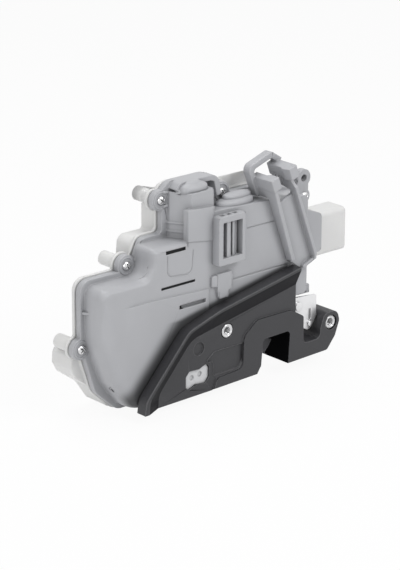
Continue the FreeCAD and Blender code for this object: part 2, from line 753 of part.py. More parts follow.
bracket = new_body("cable_bracket")
bracket.Placement = FreeCAD.Placement(Vector(), Rotation(Vector(0, 1, 0), -size("bracketLean")))
bracket.setExpression("Placement.Base.x", bound("bracketX"))
bracket.setExpression("Placement.Base.z", bound("bracketZ"))
grow(bracket, "Floor", "shellFace - channelWall", "shellFace",
     [[("channelLeft", 8), (0, -1.5), ("channelRight", -1.5), ("channelRight", "channelTop"),
       ("channelLeft", "channelTop")]])
grow(bracket, "LeftWall", "channelLeft", "channelLeft + channelWall + 0.4", [[
    ("shellFace", 8), ("shellFace", "channelTop + 6"), (13, "channelTop + 6"),
    (13, "channelTop + 13"), (-4, "channelTop + 13"), (-3, "channelTop + 2"), (-1, 8),
]], role="YZ_Plane")
grow(bracket, "RightWall", "channelRight - channelWall", "channelRight", [[
    ("shellFace", -1.5), ("shellFace", "channelTop + 2"), (13, "channelTop + 4"), (13, "channelTop + 15"),
    (5, "channelTop + 15"), (-2, "channelTop + 4"), (-2, 3), (0, -1.5),
]], role="YZ_Plane")
grow(bracket, "Sill", -1.5, 0.5, [[
    (0, -0.5), ("channelRight", 0), ("channelRight", "shellFace"), (0, "shellFace"),
]], role="XY_Plane")
grow(bracket, "LeftProng", "channelTop + 12", "channelTop + 19.5", [[
    ("channelLeft - 0.6", -4.5), ("channelLeft + 5.4", -4.5), ("channelLeft + 5.4", 2), ("channelLeft + 4", 4),
    ("channelLeft + 4", 13), ("channelLeft - 0.6", 13),
]], role="XY_Plane")
grow(bracket, "RightProng", "channelTop + 11.5", "channelTop + 19", [[
    ("channelRight - 4.5", -4.5), ("channelRight + 1.4", -4.5), ("channelRight + 1.4", 15),
    ("channelRight - 4.5", 15), ("channelRight - 4.5", 3), ("channelRight - 5.5", 1),
]], role="XY_Plane")
grow(bracket, "CrossWall", 8, 11, [rectangle("channelLeft + 1", "channelTop + 5.5", "channelRight - 1", "channelTop + 13")])
grow(bracket, "Strap", 10, 15.5, [[
    ("channelLeft - 2.6", "channelTop + 7"), ("channelLeft + 0.6", "channelTop + 6.2"),
    ("channelLeft + 0.3", "channelTop + 23.5", 2), ("channelRight - 3.5", "channelTop + 23", 2),
    ("channelRight + 0.6", "channelTop + 17"), ("channelRight + 3.6", "channelTop + 19"),
    ("channelRight - 2", "channelTop + 26.5", 3), ("channelLeft - 3.2", "channelTop + 27", 4),
]])
nodes.append(bracket)


# Latch housing: face in a flared skirt, arch round the mouth, lug on the right

latch = new_body("latch_housing")
mouth = [
    ("mouthLeft - 1.4", "faceBottom + 7", 3),
    ("mouthLeft", "mouthTop - 0.5", 2.5),
    ("mouthRight", "mouthTop", 2.5),
]
grow(latch, "Plate", "-skirtProud", "shellFace - 1", [[
    ("skirtLeft", "faceBottom"),
    (-11, "faceBottom + 0.8"),
    (-7, "faceBottom + 4"),
    ("skirtRight", "faceBottom + 6"),
    ("skirtRight", 27.6),
] + bend([("skirtRight", 27.6), (-9, 15.5, 60), (-32.5, 8.2, 14), (-63.7, -26, 10), ("skirtLeft", "faceBottom")])[1:-1]])
dish_edge = [
    ("skirtLeft + 2", "faceBottom - 2"),
    ("skirtRight + 4", "faceBottom - 2"),
    ("skirtRight + 4", 27.5),
    (-9.5, 14.9, 60),
    (-32, 7.7, 14),
    (-62.4, -26.2, 10),
]
dish_foot = inset(dish_edge, (0, 0, 10.5, 8.8, 8.5, 11))
dish = latch.newObject("PartDesign::SubtractiveLoft", "Dish")
dish.Profile = new_sketch(latch, "DishFront", "skirtProud + 0.5", [bend(dish_edge)])
dish.Sections = [(new_sketch(latch, "DishBack", "0", [bend(dish_foot)]), [""])]
dish.Ruled = True
latch.Tip = dish
arch = [
    (-10.5, "faceBottom + 1.5"),
    ("lugX - 3", "faceBottom + 3.8", 3),
    ("lugX + 3.4", "lugZ - 9", 3),
    ("lugX + lugRound", "lugZ", 4),
    ("lugX + 5", "lugZ + lugRound", 5),
    ("lugX - 5.5", "lugZ + lugRound", 5),
    ("notchRight + 0.5", "lugZ - 2", 4),
    ("notchRight", "notchBottom", 3),
    ("notchLeft", "notchBottom - 0.4", 3),
    ("notchLeft", -4.8, 2),
    (49, "archTop", 4),
    (22.5, "archTop", 6),
    (12.3, -6.5, 5),
    (11.5, -25.5, 4),
    (-8, -26.6, 2),
]
grow(latch, "Arch", "-archProud", "blockBack", [arch])
grow(latch, "LeftBlock", 1, "blockBack", [[
    ("blockLeft", "faceBottom + 1.2"),
    (-6, "faceBottom + 2.2"),
    (10, "faceBottom + 3"),
    (30, "mouthTop + 4"),
    (30, "archTop - 0.1"),
    ("blockLeft", "archTop - 0.1", 1),
]])
carve(latch, "Mouth", "-archProud", "blockBack",
      [[(20.8, "faceBottom - 1")] + mouth + [("mouthRight - 1.6", "faceBottom - 1")]])
bossFront = "leverFront + leverThick + 0.4"
grow(latch, "LeverBoss", bossFront, "blockBack", circles=[("leverX", "leverZ", 3.6)])
grow(latch, "LeverWeb", bossFront, "blockBack",
     [[(50, 0.5), ("notchLeft - 0.4", -8), ("leverX + 3.2", "leverZ - 1.5"), ("leverX - 1.2", "leverZ + 3.3")]])
carve(latch, "Cavity", "faceThick", "blockBack", [[
    ("blockLeft + sideWall", "faceBottom + 3.4"),
    (19.4, "faceBottom + 4.4", 1),
    ("mouthLeft - sideWall - 1.2", "faceBottom + 7.6", 1),
    ("mouthLeft - sideWall", "mouthTop - 1"),
    ("mouthLeft - 0.8", "mouthTop + sideWall"),
    ("mouthRight + sideWall", "mouthTop + sideWall"),
    ("mouthRight + sideWall - 1.4", "faceBottom + 5.4"),
    ("notchLeft - sideWall", "faceBottom + 5.8"),
    ("notchLeft - sideWall", -6),
    (48.4, "archTop - sideWall"),
    ("blockLeft + sideWall", "archTop - sideWall"),
]])
carve(latch, "RightCore", "faceThick", "blockBack",
      [[("notchLeft + 1", "faceBottom + 6.2"), ("lugX - 5", "faceBottom + 6.6"),
        ("lugX - 3.4", "notchBottom - sideWall"), ("notchLeft + 1", "notchBottom - sideWall - 0.4")]])
grow(latch, "InsertBoss", 1, "insertLength + 0.4", circles=[(0, 0, "insertRadius + bossWall")])
for i, (x, z) in enumerate(((0, 0), ("lugX", "lugZ")), 1):
    carve(latch, "InsertBore%d" % i, "-archProud", "insertLength + 0.4",
          circles=[(x, z, "insertRadius + snugGap")])
    carve(latch, "InsertFlare%d" % i, "-archProud", "insertGroove", circles=[(x, z, "insertRadius + 0.6")])
carve(latch, "BlankDisc", 0, 1, circles=[("blankX", "blankZ", "blankRound")])
carve(latch, "ClawSlit", "clawFront - 0.5", "clawFront + clawThick + 0.5", [[
    ("mouthLeft - 11", "faceBottom + 5.1"), ("mouthLeft + 1.5", "faceBottom + 5.1"),
    ("mouthLeft + 1.5", "mouthTop - 1.5"), ("mouthRight - 1.8", "mouthTop - 1.5"),
    ("mouthRight - 1.8", "mouthTop + 4"), ("mouthLeft - 11", "mouthTop + 4"),
]])
carve(latch, "LeverSlit", "leverFront - 0.4", "leverFront + leverThick + 0.4",
      [[("notchLeft - 14", -9), ("notchLeft + 12", -9), ("notchLeft + 12", 6), ("notchLeft - 14", 6)]])
carve(latch, "RotorPocket", "rotorSink - 0.1", "shellFace", circles=[("rotorX", "rotorZ", "rotorRound + freeGap")])
carve(latch, "RotorWindow", -1, 2, [[
    ("rotorX - 8.6", "rotorZ - 4.6", 1), ("rotorX - 6.4", "rotorZ - 6.2", 1), ("rotorX - 1.5", "rotorZ - 4.2", 1.5),
    ("rotorX + 6", "rotorZ - 4.8", 1.5), ("rotorX + 8.6", "rotorZ - 2", 1), ("rotorX + 8.8", "rotorZ + 4.8", 1),
    ("rotorX + 6.4", "rotorZ + 6.4", 1), ("rotorX + 1.5", "rotorZ + 4.4", 1.5), ("rotorX - 6", "rotorZ + 4.8", 1.5),
    ("rotorX - 8.6", "rotorZ + 2", 1),
]])
carve(latch, "PanelStep", -0.5, 0.7, [[
    (-10.9, -24.6), (9.5, -24.6, 2), (12.3, -20), (12.3, -10.2), (-9.5, -10.2, 4), (-15.3, -14.4, 1), (-15.3, -16),
    (-10.9, -16),
]])
for i, (x, z, radius) in enumerate((("clawX", "clawZ", "clawPin"), ("pawlX", "pawlZ", "pawlPin")), 1):
    carve(latch, "PinBore%d" % i, "pinSink", "faceThick", circles=[(x, z, radius + " + snugGap")])
carve(latch, "RivetBore", "leverFront", "blockBack", circles=[("leverX", "leverZ", "leverPin + snugGap")])
carve(latch, "BumperSeat", "clawFront + clawThick + 0.5", "blockBack", [rectangle("mouthLeft + 3", "mouthTop - 1", "mouthRight - 3", "mouthTop + 4")])
nodes.append(latch)

backplate = new_body("latch_backplate")
back = "blockBack + plateThick"
grow(backplate, "Sheet", "blockBack", back, [[
    ("blockLeft + 0.3", "faceBottom + 1.3", 2),
    (20, "faceBottom + 2.5", 3),
] + mouth + [
    ("mouthRight - 1.6", "faceBottom + 3.3"),
] + arch[1:9] + [
    ("notchLeft", -3.2, 1),
    ("leverX + 3", "archTop", 1),
    ("blockLeft + 0.3", "archTop", 2),
]])
for i, (x, z, radius) in enumerate((("clawX", "clawZ", "clawPin"), ("pawlX", "pawlZ", "pawlPin"),
                                    ("leverX", "leverZ", "leverPin")), 1):
    carve(backplate, "Hole%d" % i, "blockBack", back, circles=[(x, z, radius + " + snugGap")])
nodes.append(backplate)

for label, x, z in (("thread_insert_left", "0", "0"), ("thread_insert_right", "lugX", "lugZ")):
    insert = new_body(label)
    grow(insert, "Sleeve", 0, "insertLength", circles=[(x, z, "insertRadius")])
    carve(insert, "Bore", 0, "insertLength", circles=[(x, z, "insertBore")])
    nodes.append(insert)


# Claw and pawl on their pins, with springs and stop

def sector(name, radius, start, span):
    """A slice of a disc about the Y axis, from a start angle, counted anticlockwise seen from the front."""
    slice_ = doc.addObject("Part::Cylinder", name)
    slice_.setExpression("Radius", bound(radius))
    slice_.setExpression("Height", bound("clawThick"))
    slice_.Angle = span
    turn = Rotation(Vector(1, 0, 0), 90).multiply(Rotation(Vector(0, 0, 1), start))
    slice_.Placement = FreeCAD.Placement(Vector(0, size("clawFront + clawThick"), 0), turn)
    slice_.setExpression("Placement.Base.y", bound("clawFront + clawThick"))
    return slice_


def slab(name, long, tall, x, z, turn):
    """A block from a point outwards, turned about Y."""
    shape = doc.addObject("Part::Box", name)
    shape.setExpression("Length", bound(long))
    shape.setExpression("Width", bound("clawThick + 2"))
    shape.setExpression("Height", bound(tall))
    rotation = Rotation(Vector(0, 1, 0), -turn)
    start = Vector(size(x), size("clawFront - 1"), size(z)) - rotation.multVec(Vector(0, 0, size(tall) / 2))
    shape.Placement = FreeCAD.Placement(start, rotation)
    return shape


claw_blank = fuse("ClawBlank", [
    sector("ClawJaws", "clawReach", -76, 91), sector("ClawRim", "rimRound", -138, 64),
    sector("ClawNotch", "notchRound", -162, 26),
    cylinder("ClawHub", "clawHub", "clawThick", 0, "clawFront", 0),
])
slot_gap = "2 * strikerRound + 1"
claw_cuts = fuse("ClawCuts", [
    cylinder("StrikerSlot", "strikerRound + 0.5", "clawThick + 2", "strikerX", "clawFront - 1", "strikerZ"),
    slab("SlotInner", 12, slot_gap, "strikerX", "strikerZ", -1.3),
    slab("SlotOuter", 16, slot_gap, "strikerX + 4.45", "strikerZ - 0.1", 22.6),
    block("ClawFlat", 60, "clawThick + 2", 30, -30, "clawFront - 1", "clawHub"),
    cylinder("ClawBore", "clawPin + runGap", "clawThick + 2", 0, "clawFront - 1", 0),
])
claw_closed = cut("ClawClosed", claw_blank, claw_cuts)
claw = doc.addObject("Part::Feature", "claw")
claw.Label = "claw"
doc.recompute()
claw.Shape = claw_closed.Shape.copy()
claw.Placement = FreeCAD.Placement(Vector(size("clawX"), 0, size("clawZ")), Rotation(Vector(0, 1, 0), size("clawTravel")))
nodes.append(claw)

pawl = new_body("pawl")
pawlBack = "clawFront + clawThick"
grow(pawl, "Hub", "clawFront", pawlBack, circles=[("pawlX", "pawlZ", "pawlHub")])
grow(pawl, "Arm", "clawFront", pawlBack, [[
    ("pawlX - 2.6", "pawlZ - 3"), ("clawX - 12.95", "clawZ - 12.5", 1.5), ("clawX - 10.34", "clawZ - 8.99", 0.3),
    ("clawX - 12.1", "clawZ - 6.43", 0.5), ("pawlX + 3.8", "pawlZ + 1"),
]])
grow(pawl, "Peg", "linkFront", "clawFront + 0.5", circles=[("pawlX + 6.5", "pawlZ - 6", "pegRound")])
carve(pawl, "Bore", "clawFront", pawlBack, circles=[("pawlX", "pawlZ", "pawlPin + runGap")])
nodes.append(pawl)

for label, x, z, radius in (("claw_pivot_pin", "clawX", "clawZ", "clawPin"),
                            ("pawl_pivot_pin", "pawlX", "pawlZ", "pawlPin")):
    pin = new_body(label)
    grow(pin, "Shank", "pinSink + 0.1", back + " + 0.1", circles=[(x, z, radius)])
    grow(pin, "Head", back, back + " + pinHead", circles=[(x, z, radius + " + 1.2")])
    nodes.append(pin)


def coil(label, x, z, inner, turns, front):
    """A torsion spring about Y with two straight legs."""
    wire = size("wireRound")
    middle = size(inner) + wire
    pitch = 2 * wire + 0.15
    helix = Part.makeHelix(pitch, pitch * turns, middle)
    start = Vector(middle, 0, 0)
    end = Vector(middle * math.cos(2 * math.pi * turns), middle * math.sin(2 * math.pi * turns), pitch * turns)
    climb = pitch / (2 * math.pi * middle)
    last = 2 * math.pi * turns
    legs = [Part.makeCylinder(wire, 5, start, Vector(0, -1, -climb)),
            Part.makeCylinder(wire, 5, end, Vector(-math.sin(last), math.cos(last), climb))]
    ring = Part.Wire(Part.makeCircle(wire, start, Vector(0, 1, climb)))
    body = Part.Wire(helix.Edges).makePipeShell([ring], True, True)
    spring = doc.addObject("Part::Feature", label)
    spring.Label = label
    spring.Shape = body.fuse(legs)
    spring.Placement = FreeCAD.Placement(Vector(size(x), size(front) + wire + 0.5, size(z)),
                                         Rotation(Vector(1, 0, 0), -90))
    nodes.append(spring)


coil("claw_spring", "clawX", "clawZ", "clawPin + 0.2", 3.25, pawlBack)
coil("pawl_spring", "pawlX", "pawlZ", "pawlPin + 0.2", 3.25, pawlBack)

bumper = new_body("striker_bumper")
grow(bumper, "Block", "blockBack - 5.4", "blockBack - 0.1",
     [rectangle("mouthLeft + 3.1", "mouthTop - 0.6", "mouthRight - 3.1", "mouthTop + 3.8", 0.8)])
nodes.append(bumper)


# Release lever, its rivet and the sliding link to the pawl

lever = new_body("release_lever")
leverBack = "leverFront + leverThick"
grow(lever, "Plate", "leverFront", leverBack, [[
    ("leverX - 7.9", "leverZ - 9.2", 1), ("leverX - 3.8", "leverZ - 9.2", 1), ("leverX + 1.8", "leverZ - 4.6", 2),
    ("leverX + 4.2", "leverZ - 14.5", 2), ("leverX + 9.4", "leverZ - 17.4", 3), ("leverX + 12.6", "leverZ - 13", 2.5),
    ("leverX + 15", "leverZ - 9", 2), ("leverX + 15", "leverZ + 4.2", 1), ("leverX - 2.8", "leverZ + 5.8", 1),
    ("leverX - 3.4", "leverZ + 0.5", 1), ("leverX - 7.9", "leverZ - 3.4", 1),
]])
grow(lever, "Peg", "linkFront", "leverFront + 0.5", circles=[("leverX - 5.7", "leverZ - 7.2", "pegRound")])
carve(lever, "Bore", "leverFront", leverBack, circles=[("leverX", "leverZ", "leverPin + runGap")])
carve(lever, "Slot", "leverFront", leverBack,
      [rectangle("leverX + 9", "leverZ - 10.6", "leverX + 10.6", "leverZ - 3.6", 0.6)])
grow(lever, "Hook", "leverFront - 1.2", leverBack, circles=[("leverX + 9.2", "leverZ - 12.6", 1.6)])
nodes.append(lever)

rivet = new_body("release_lever_rivet")
grow(rivet, "Shank", "leverFront - 0.1", back + " + 0.1", circles=[("leverX", "leverZ", "leverPin")])
grow(rivet, "Head", "leverFront - 1.1", "leverFront - 0.1", circles=[("leverX", "leverZ", "leverPin + 0.9")])
nodes.append(rivet)

link = new_body("release_link")
linkBack = "linkFront + linkThick"
grow(link, "Bar", "linkFront", linkBack, [[
    ("pawlX + 4", "pawlZ - 9.4", 0.5), ("pawlX + 9.4", "pawlZ - 9.4", 0.5), ("pawlX + 9.4", "clawZ + 3.5", 0.5),
    ("leverX - 13", "clawZ + 3.5", 2), ("leverX - 7.9", "leverZ - 8.2"), ("leverX - 7.5", "leverZ - 10"),
    ("leverX - 3.4", "leverZ - 10", 1), ("leverX - 3.4", "leverZ - 6.1"), ("leverX - 12.2", "clawZ + 6.2"),
    ("pawlX + 6.4", "clawZ + 6.2", 0.5),
    ("pawlX + 6.4", "pawlZ - 3.2", 0.5), ("pawlX + 4", "pawlZ - 3.2", 0.5),
]])
carve(link, "PawlSlot", "linkFront", linkBack,
      [rectangle("pawlX + 6.5 - pegRound - 0.15", "pawlZ - 6 - pegRound - 1.5", "pawlX + 6.5 + pegRound + 0.15",
                 "pawlZ - 6 + pegRound + 0.2")])
carve(link, "LeverSlot", "linkFront", linkBack,
      [rectangle("leverX - 5.7 - pegRound - 0.15", "leverZ - 7.2 - pegRound - 0.2",
                 "leverX - 5.7 + pegRound + 0.15", "leverZ - 0.5")])
nodes.append(link)

rotor = new_body("emergency_lock_rotor")
grow(rotor, "Disc", "rotorSink", "rotorSink + rotorThick", circles=[("rotorX", "rotorZ", "rotorRound")])
grow(rotor, "Spindle", "rotorSink + 1", "shellFace + wall + 2", circles=[("rotorX", "rotorZ", "spindle")])
for i, (x, z) in enumerate(((-3.4, 0.1), (2.6, 1.0)), 1):
    carve(rotor, "Dimple%d" % i, "rotorSink", "rotorSink + 0.9", circles=[("rotorX + %s" % x, "rotorZ + %s" % z, 1.6)])
nodes.append(rotor)


# Drive inside the shell: motor, worm, wheel with pinion, toothed lock lever

motor = new_body("motor_case")
grow(motor, "Can", "motorLow", "motorHigh - 1", circles=[("motorX", "motorY", "motorRadius")], role="XY_Plane")
grow(motor, "Nose", "motorHigh - 1", "motorHigh", circles=[("motorX", "motorY", "motorRadius - 5.5")], role="XY_Plane")
carve(motor, "ShaftHole", "motorLow", "motorLow + 6", circles=[("motorX", "motorY", "shaftRadius + runGap")],
      role="XY_Plane")
nodes.append(motor)

cap = new_body("motor_end_cap")
grow(cap, "Disc", "motorLow - 2.2", "motorLow", circles=[("motorX", "motorY", "motorRadius - 0.4")], role="XY_Plane")
grow(cap, "Collar", "motorLow - 4", "motorLow - 2", circles=[("motorX", "motorY", "shaftRadius + 2.4")], role="XY_Plane")
carve(cap, "ShaftHole", "motorLow - 4", "motorLow", circles=[("motorX", "motorY", "shaftRadius + runGap")],
      role="XY_Plane")
nodes.append(cap)

core = size("wormCore")
pitch = size("wormPitch")
worm_length = pitch * size("wormTurns")
worm_low = size("wheelZ") - worm_length / 2
path = Part.makeHelix(pitch, worm_length, core)
root, tip = 1.35, 0.55
crest = size("wormRound")
profile = Part.makePolygon([Vector(core - 0.3, 0, -root), Vector(crest, 0, -tip), Vector(crest, 0, tip),
                            Vector(core - 0.3, 0, root), Vector(core - 0.3, 0, -root)])
thread = Part.Wire(path.Edges).makePipeShell([profile], True, True)
shaft = Part.makeCylinder(size("shaftRadius"), size("motorLow") + 5 - (worm_low - 6), Vector(0, 0, -6))
barrel = Part.makeCylinder(core, worm_length + 3, Vector(0, 0, -1.5))
worm = doc.addObject("Part::Feature", "motor_worm")
worm.Label = "motor_worm"
worm.Shape = barrel.fuse([thread, shaft])
worm.Placement = FreeCAD.Placement(Vector(size("motorX"), size("motorY"), worm_low), Rotation())
nodes.append(worm)


def toothed(body, name, front, end, teeth, turn, pitch_round, first, tooth, foot, head):
    """Straight-flanked teeth round a body's own Y axis."""
    start = math.radians(first)

    def corner(radius, side):
        turn = start + side / radius
        return (radius * math.cos(turn), radius * math.sin(turn))

    outline = [corner(pitch_round - foot, -tooth * 0.78), corner(pitch_round + head, -tooth * 0.3),
               corner(pitch_round + head, tooth * 0.3), corner(pitch_round - foot, tooth * 0.78)]
    grow(body, name, front, end, [outline])
    pattern = body.newObject("PartDesign::PolarPattern", name + "Round")
    pattern.Originals = [body.Tip]
    pattern.Axis = (plane_of(body, "Y_Axis"), [""])
    pattern.Reversed = True
    pattern.setExpression("Angle", bound(turn))
    pattern.setExpression("Occurrences", bound(teeth))
    body.Tip = pattern


wheel = new_body("worm_wheel")
wheelFront = "motorY - wheelThick / 2"
wheelBack = "motorY + wheelThick / 2"
grow(wheel, "Web", wheelFront, wheelBack, circles=[(0, 0, "wheelTeeth / 2 - 1.05")])
toothed(wheel, "WheelTooth", wheelFront, wheelBack, "wheelTeeth", 360, 12.0, 0, 1.05, 1.2, 0.85)
grow(wheel, "Sleeve", "sectorFront - 0.2", wheelBack + " + 1", circles=[(0, 0, "pinionTeeth / 2 - 1.15")])
toothed(wheel, "PinionTooth", "sectorFront - 0.2", wheelFront + " + 0.5", "pinionTeeth", 360, 5.0, 250, 1.2, 1.4, 0.8)
carve(wheel, "Bore", "sectorFront - 0.2", wheelBack + " + 1", circles=[(0, 0, "axleRadius + runGap")])
wheel.Placement = FreeCAD.Placement(Vector(size("wheelX"), 0, size("wheelZ")), Rotation())
nodes.append(wheel)

lock = new_body("lock_lever")
lockBack = "sectorFront + sectorThick"
grow(lock, "Hub", "sectorFront", lockBack, circles=[(0, 0, "axleRadius + 2.8")])
rim = [math.radians(angle) for angle in range(62, 124, 6)]
grow(lock, "Fan", "sectorFront", lockBack,
     [[(-3, -2), (3, -2)] + [(18.8 * math.cos(angle), 18.8 * math.sin(angle)) for angle in rim]])
toothed(lock, "LockTooth", "sectorFront", lockBack, "sectorTeeth", "sectorPitch * (sectorTeeth - 1)", 20.0, 65.5,
        1.2, 1.6, 0.8)
grow(lock, "Arm", "sectorFront", lockBack,
     [[(-3.6, 1), (5.6, -30, 1), (8.4, -34.5, 2), (13.4, -33, 2), (12.6, -30, 1), (3.6, 1)]])
carve(lock, "Bore", "sectorFront", lockBack, circles=[(0, 0, "axleRadius + runGap")])
lock.Placement = FreeCAD.Placement(Vector(size("leverPivotX"), 0, size("leverPivotZ")), Rotation())
nodes.append(lock)

for label, x, z in (("wheel_axle", "wheelX", "wheelZ"), ("lock_lever_axle", "leverPivotX", "leverPivotZ")):
    axle = new_body(label)
    grow(axle, "Pin", "shellFace + wall - 0.9", coverBack + " - wall - 2.1", circles=[(x, z, "axleRadius")])
    nodes.append(axle)

switches = []
tips = []
for i, (x, y, z) in enumerate((("blockLeft + sideWall + 1", "faceThick + 0.1", "faceBottom + 4.4"),
                               ("stepLeft - 24", "shellFace + wall + 0.1", "slantHigh + 8")), 1):
    switches.append(block("SwitchBox%d" % i, 10, 4, 6, x, y, z))
    tips.append(cylinder("SwitchTip%d" % i, 0.9, 1.2, x + " + 5", y + " + 2", z + " + 6", Vector(0, 0, 1)))
nodes.append(group("microswitches", switches))
nodes.append(group("switch_tips", tips))

tracks = []
for i, (low, right) in enumerate((("plugLow + 4", 0), ("plugLow + 9", 3), ("plugLow + 14", 6)), 1):
    tracks.append(fuse("Track%d" % i, [
        block("TrackRun%d" % i, "columnRight - wall - 3 - motorX - %s" % right, 0.5, 1.6, "motorX + %s" % right,
              coverBack + " - wall - 0.6", low),
        block("TrackRise%d" % i, 1.6, 0.5, "motorLow - plugLow - 10", "motorX + %s" % right,
              coverBack + " - wall - 0.6", low),
    ]))
nodes.append(group("lead_frame", tracks))


# Check and export

doc.recompute()
faults = [thing.Name for thing in doc.Objects if "Invalid" in thing.State or "Error" in thing.State]
for node in nodes:
    if node.Shape.isNull() or not node.Shape.isValid():
        faults.append(node.Label)
if faults:
    raise SystemExit("not sound: " + ", ".join(faults))
os.makedirs("parts", exist_ok=True)
for node in nodes:
    node.Shape.exportStep("parts/%s.step" % node.Label)
    box = node.Shape.BoundBox
    print("%-22s %2d solids  X %.1f %.1f  Y %.1f %.1f  Z %.1f %.1f" % (
        node.Label, len(node.Shape.Solids), box.XMin, box.XMax, box.YMin, box.YMax, box.ZMin, box.ZMax))
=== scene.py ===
import json
import math

import bmesh
import bpy
from mathutils import Matrix, Vector
from mathutils.kdtree import KDTree


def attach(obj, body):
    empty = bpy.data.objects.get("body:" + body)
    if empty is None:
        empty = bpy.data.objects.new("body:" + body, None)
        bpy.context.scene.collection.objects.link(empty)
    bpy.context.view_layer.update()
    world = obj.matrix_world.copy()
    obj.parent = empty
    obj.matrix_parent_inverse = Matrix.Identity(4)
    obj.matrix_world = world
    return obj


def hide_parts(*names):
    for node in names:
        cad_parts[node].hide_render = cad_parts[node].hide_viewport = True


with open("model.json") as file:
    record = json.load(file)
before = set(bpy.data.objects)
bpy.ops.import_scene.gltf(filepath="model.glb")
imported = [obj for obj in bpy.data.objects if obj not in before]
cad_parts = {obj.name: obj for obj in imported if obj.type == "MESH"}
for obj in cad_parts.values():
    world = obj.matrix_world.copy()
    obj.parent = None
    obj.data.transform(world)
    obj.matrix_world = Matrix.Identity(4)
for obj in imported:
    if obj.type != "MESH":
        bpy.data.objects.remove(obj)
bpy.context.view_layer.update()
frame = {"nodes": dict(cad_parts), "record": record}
stageCollection = bpy.context.scene.collection
print("frame loaded")


# Shader groups that several finishes share.

def newGroup(name, inputs, outputs):
    group = bpy.data.node_groups.new(name, "ShaderNodeTree")
    for label, kind, value in inputs:
        socket = group.interface.new_socket(label, in_out="INPUT", socket_type=kind)
        if value is not None:
            socket.default_value = value
    for label, kind in outputs:
        group.interface.new_socket(label, in_out="OUTPUT", socket_type=kind)
    return group, group.nodes.new("NodeGroupInput"), group.nodes.new("NodeGroupOutput")


def addNode(tree, kind, values=None, **options):
    node = tree.nodes.new(kind)
    for option, value in options.items():
        setattr(node, option, value)
    for socket, value in (values or {}).items():
        node.inputs[socket].default_value = value
    return node


def mathOf(tree, operation, *sources):
    node = addNode(tree, "ShaderNodeMath", operation=operation)
    for socket, source in zip(node.inputs, sources):
        if isinstance(source, (int, float)):
            socket.default_value = source
        else:
            tree.links.new(source, socket)
    return node.outputs[0]


def scaleColour(tree, colour, amount):
    node = addNode(tree, "ShaderNodeVectorMath", operation="SCALE")
    tree.links.new(colour, node.inputs[0])
    tree.links.new(amount, node.inputs["Scale"])
    return node.outputs[0]


def makeSkinGroup():  # fine grain and slow mottling of a moulded or plated surface
    group, given, made = newGroup("surfaceSkin", [
        ("Colour", "NodeSocketColor", (0.5, 0.5, 0.5, 1)),
        ("Roughness", "NodeSocketFloat", 0.45),
        ("Mottle", "NodeSocketFloat", 0.05),
        ("Grain Scale", "NodeSocketFloat", 900.0),
        ("Grain Depth", "NodeSocketFloat", 0.5),
    ], [("Colour", "NodeSocketColor"), ("Roughness", "NodeSocketFloat"), ("Height", "NodeSocketFloat")])
    link = group.links.new
    place = addNode(group, "ShaderNodeTexCoord")
    cloud = addNode(group, "ShaderNodeTexNoise", {"Scale": 42.0, "Detail": 4.0, "Roughness": 0.55})
    grain = addNode(group, "ShaderNodeTexNoise", {"Detail": 3.0, "Roughness": 0.6})
    link(place.outputs["Object"], cloud.inputs["Vector"])
    link(place.outputs["Object"], grain.inputs["Vector"])
    link(given.outputs["Grain Scale"], grain.inputs["Scale"])
    centred = mathOf(group, "SUBTRACT", cloud.outputs["Fac"], 0.5)
    swing = mathOf(group, "MULTIPLY", centred, given.outputs["Mottle"])
    brightness = mathOf(group, "MULTIPLY_ADD", swing, 4.0, 1.0)
    link(scaleColour(group, given.outputs["Colour"], brightness), made.inputs["Colour"])
    link(mathOf(group, "ADD", given.outputs["Roughness"], swing), made.inputs["Roughness"])
    link(mathOf(group, "MULTIPLY", grain.outputs["Fac"], given.outputs["Grain Depth"]), made.inputs["Height"])
    return group


def makePaintedLightGroup():  # painted highlight on outer edges and painted shade in inner corners
    group, given, made = newGroup("edgeRub", [
        ("Colour", "NodeSocketColor", (0.5, 0.5, 0.5, 1)),
        ("Edge Colour", "NodeSocketColor", (0.8, 0.8, 0.8, 1)),
        ("Edge Amount", "NodeSocketFloat", 0.3),
        ("Corner Amount", "NodeSocketFloat", 0.3),
    ], [("Colour", "NodeSocketColor")])
    link = group.links.new
    shape = addNode(group, "ShaderNodeNewGeometry")
    soft = addNode(group, "ShaderNodeBevel", {"Radius": 0.0006}, samples=4)
    turn = addNode(group, "ShaderNodeVectorMath", operation="DOT_PRODUCT")
    link(soft.outputs["Normal"], turn.inputs[0])
    link(shape.outputs["Normal"], turn.inputs[1])
    edge = addNode(group, "ShaderNodeMapRange", {"From Min": 0.995, "From Max": 0.86})
    link(turn.outputs["Value"], edge.inputs["Value"])
    close = addNode(group, "ShaderNodeAmbientOcclusion", {"Distance": 0.0012}, samples=4, inside=False)
    outward = addNode(group, "ShaderNodeMapRange", {"From Min": 0.55, "From Max": 0.95})
    link(close.outputs["AO"], outward.inputs["Value"])
    # painted highlight: outward edges, found from the bevelled normal, are mixed toward the edge colour
    highlightMask = mathOf(group, "MULTIPLY", edge.outputs[0], outward.outputs[0])
    mix = addNode(group, "ShaderNodeMix", data_type="RGBA")
    link(mathOf(group, "MULTIPLY", highlightMask, given.outputs["Edge Amount"]), mix.inputs[0])
    link(given.outputs["Colour"], mix.inputs[6])
    link(given.outputs["Edge Colour"], mix.inputs[7])
    # painted shade: the colour is darkened in inner corners where ambient occlusion finds near surfaces
    wide = addNode(group, "ShaderNodeAmbientOcclusion", {"Distance": 0.006}, samples=6, inside=False)
    hidden = mathOf(group, "MULTIPLY_ADD", wide.outputs["AO"], -1.0, 1.0)
    shade = mathOf(group, "MULTIPLY", hidden, given.outputs["Corner Amount"])
    keep = mathOf(group, "SUBTRACT", 1.0, shade)
    link(scaleColour(group, mix.outputs[2], keep), made.inputs["Colour"])
    return group


skinGroup = makeSkinGroup()
paintedLightGroup = makePaintedLightGroup()


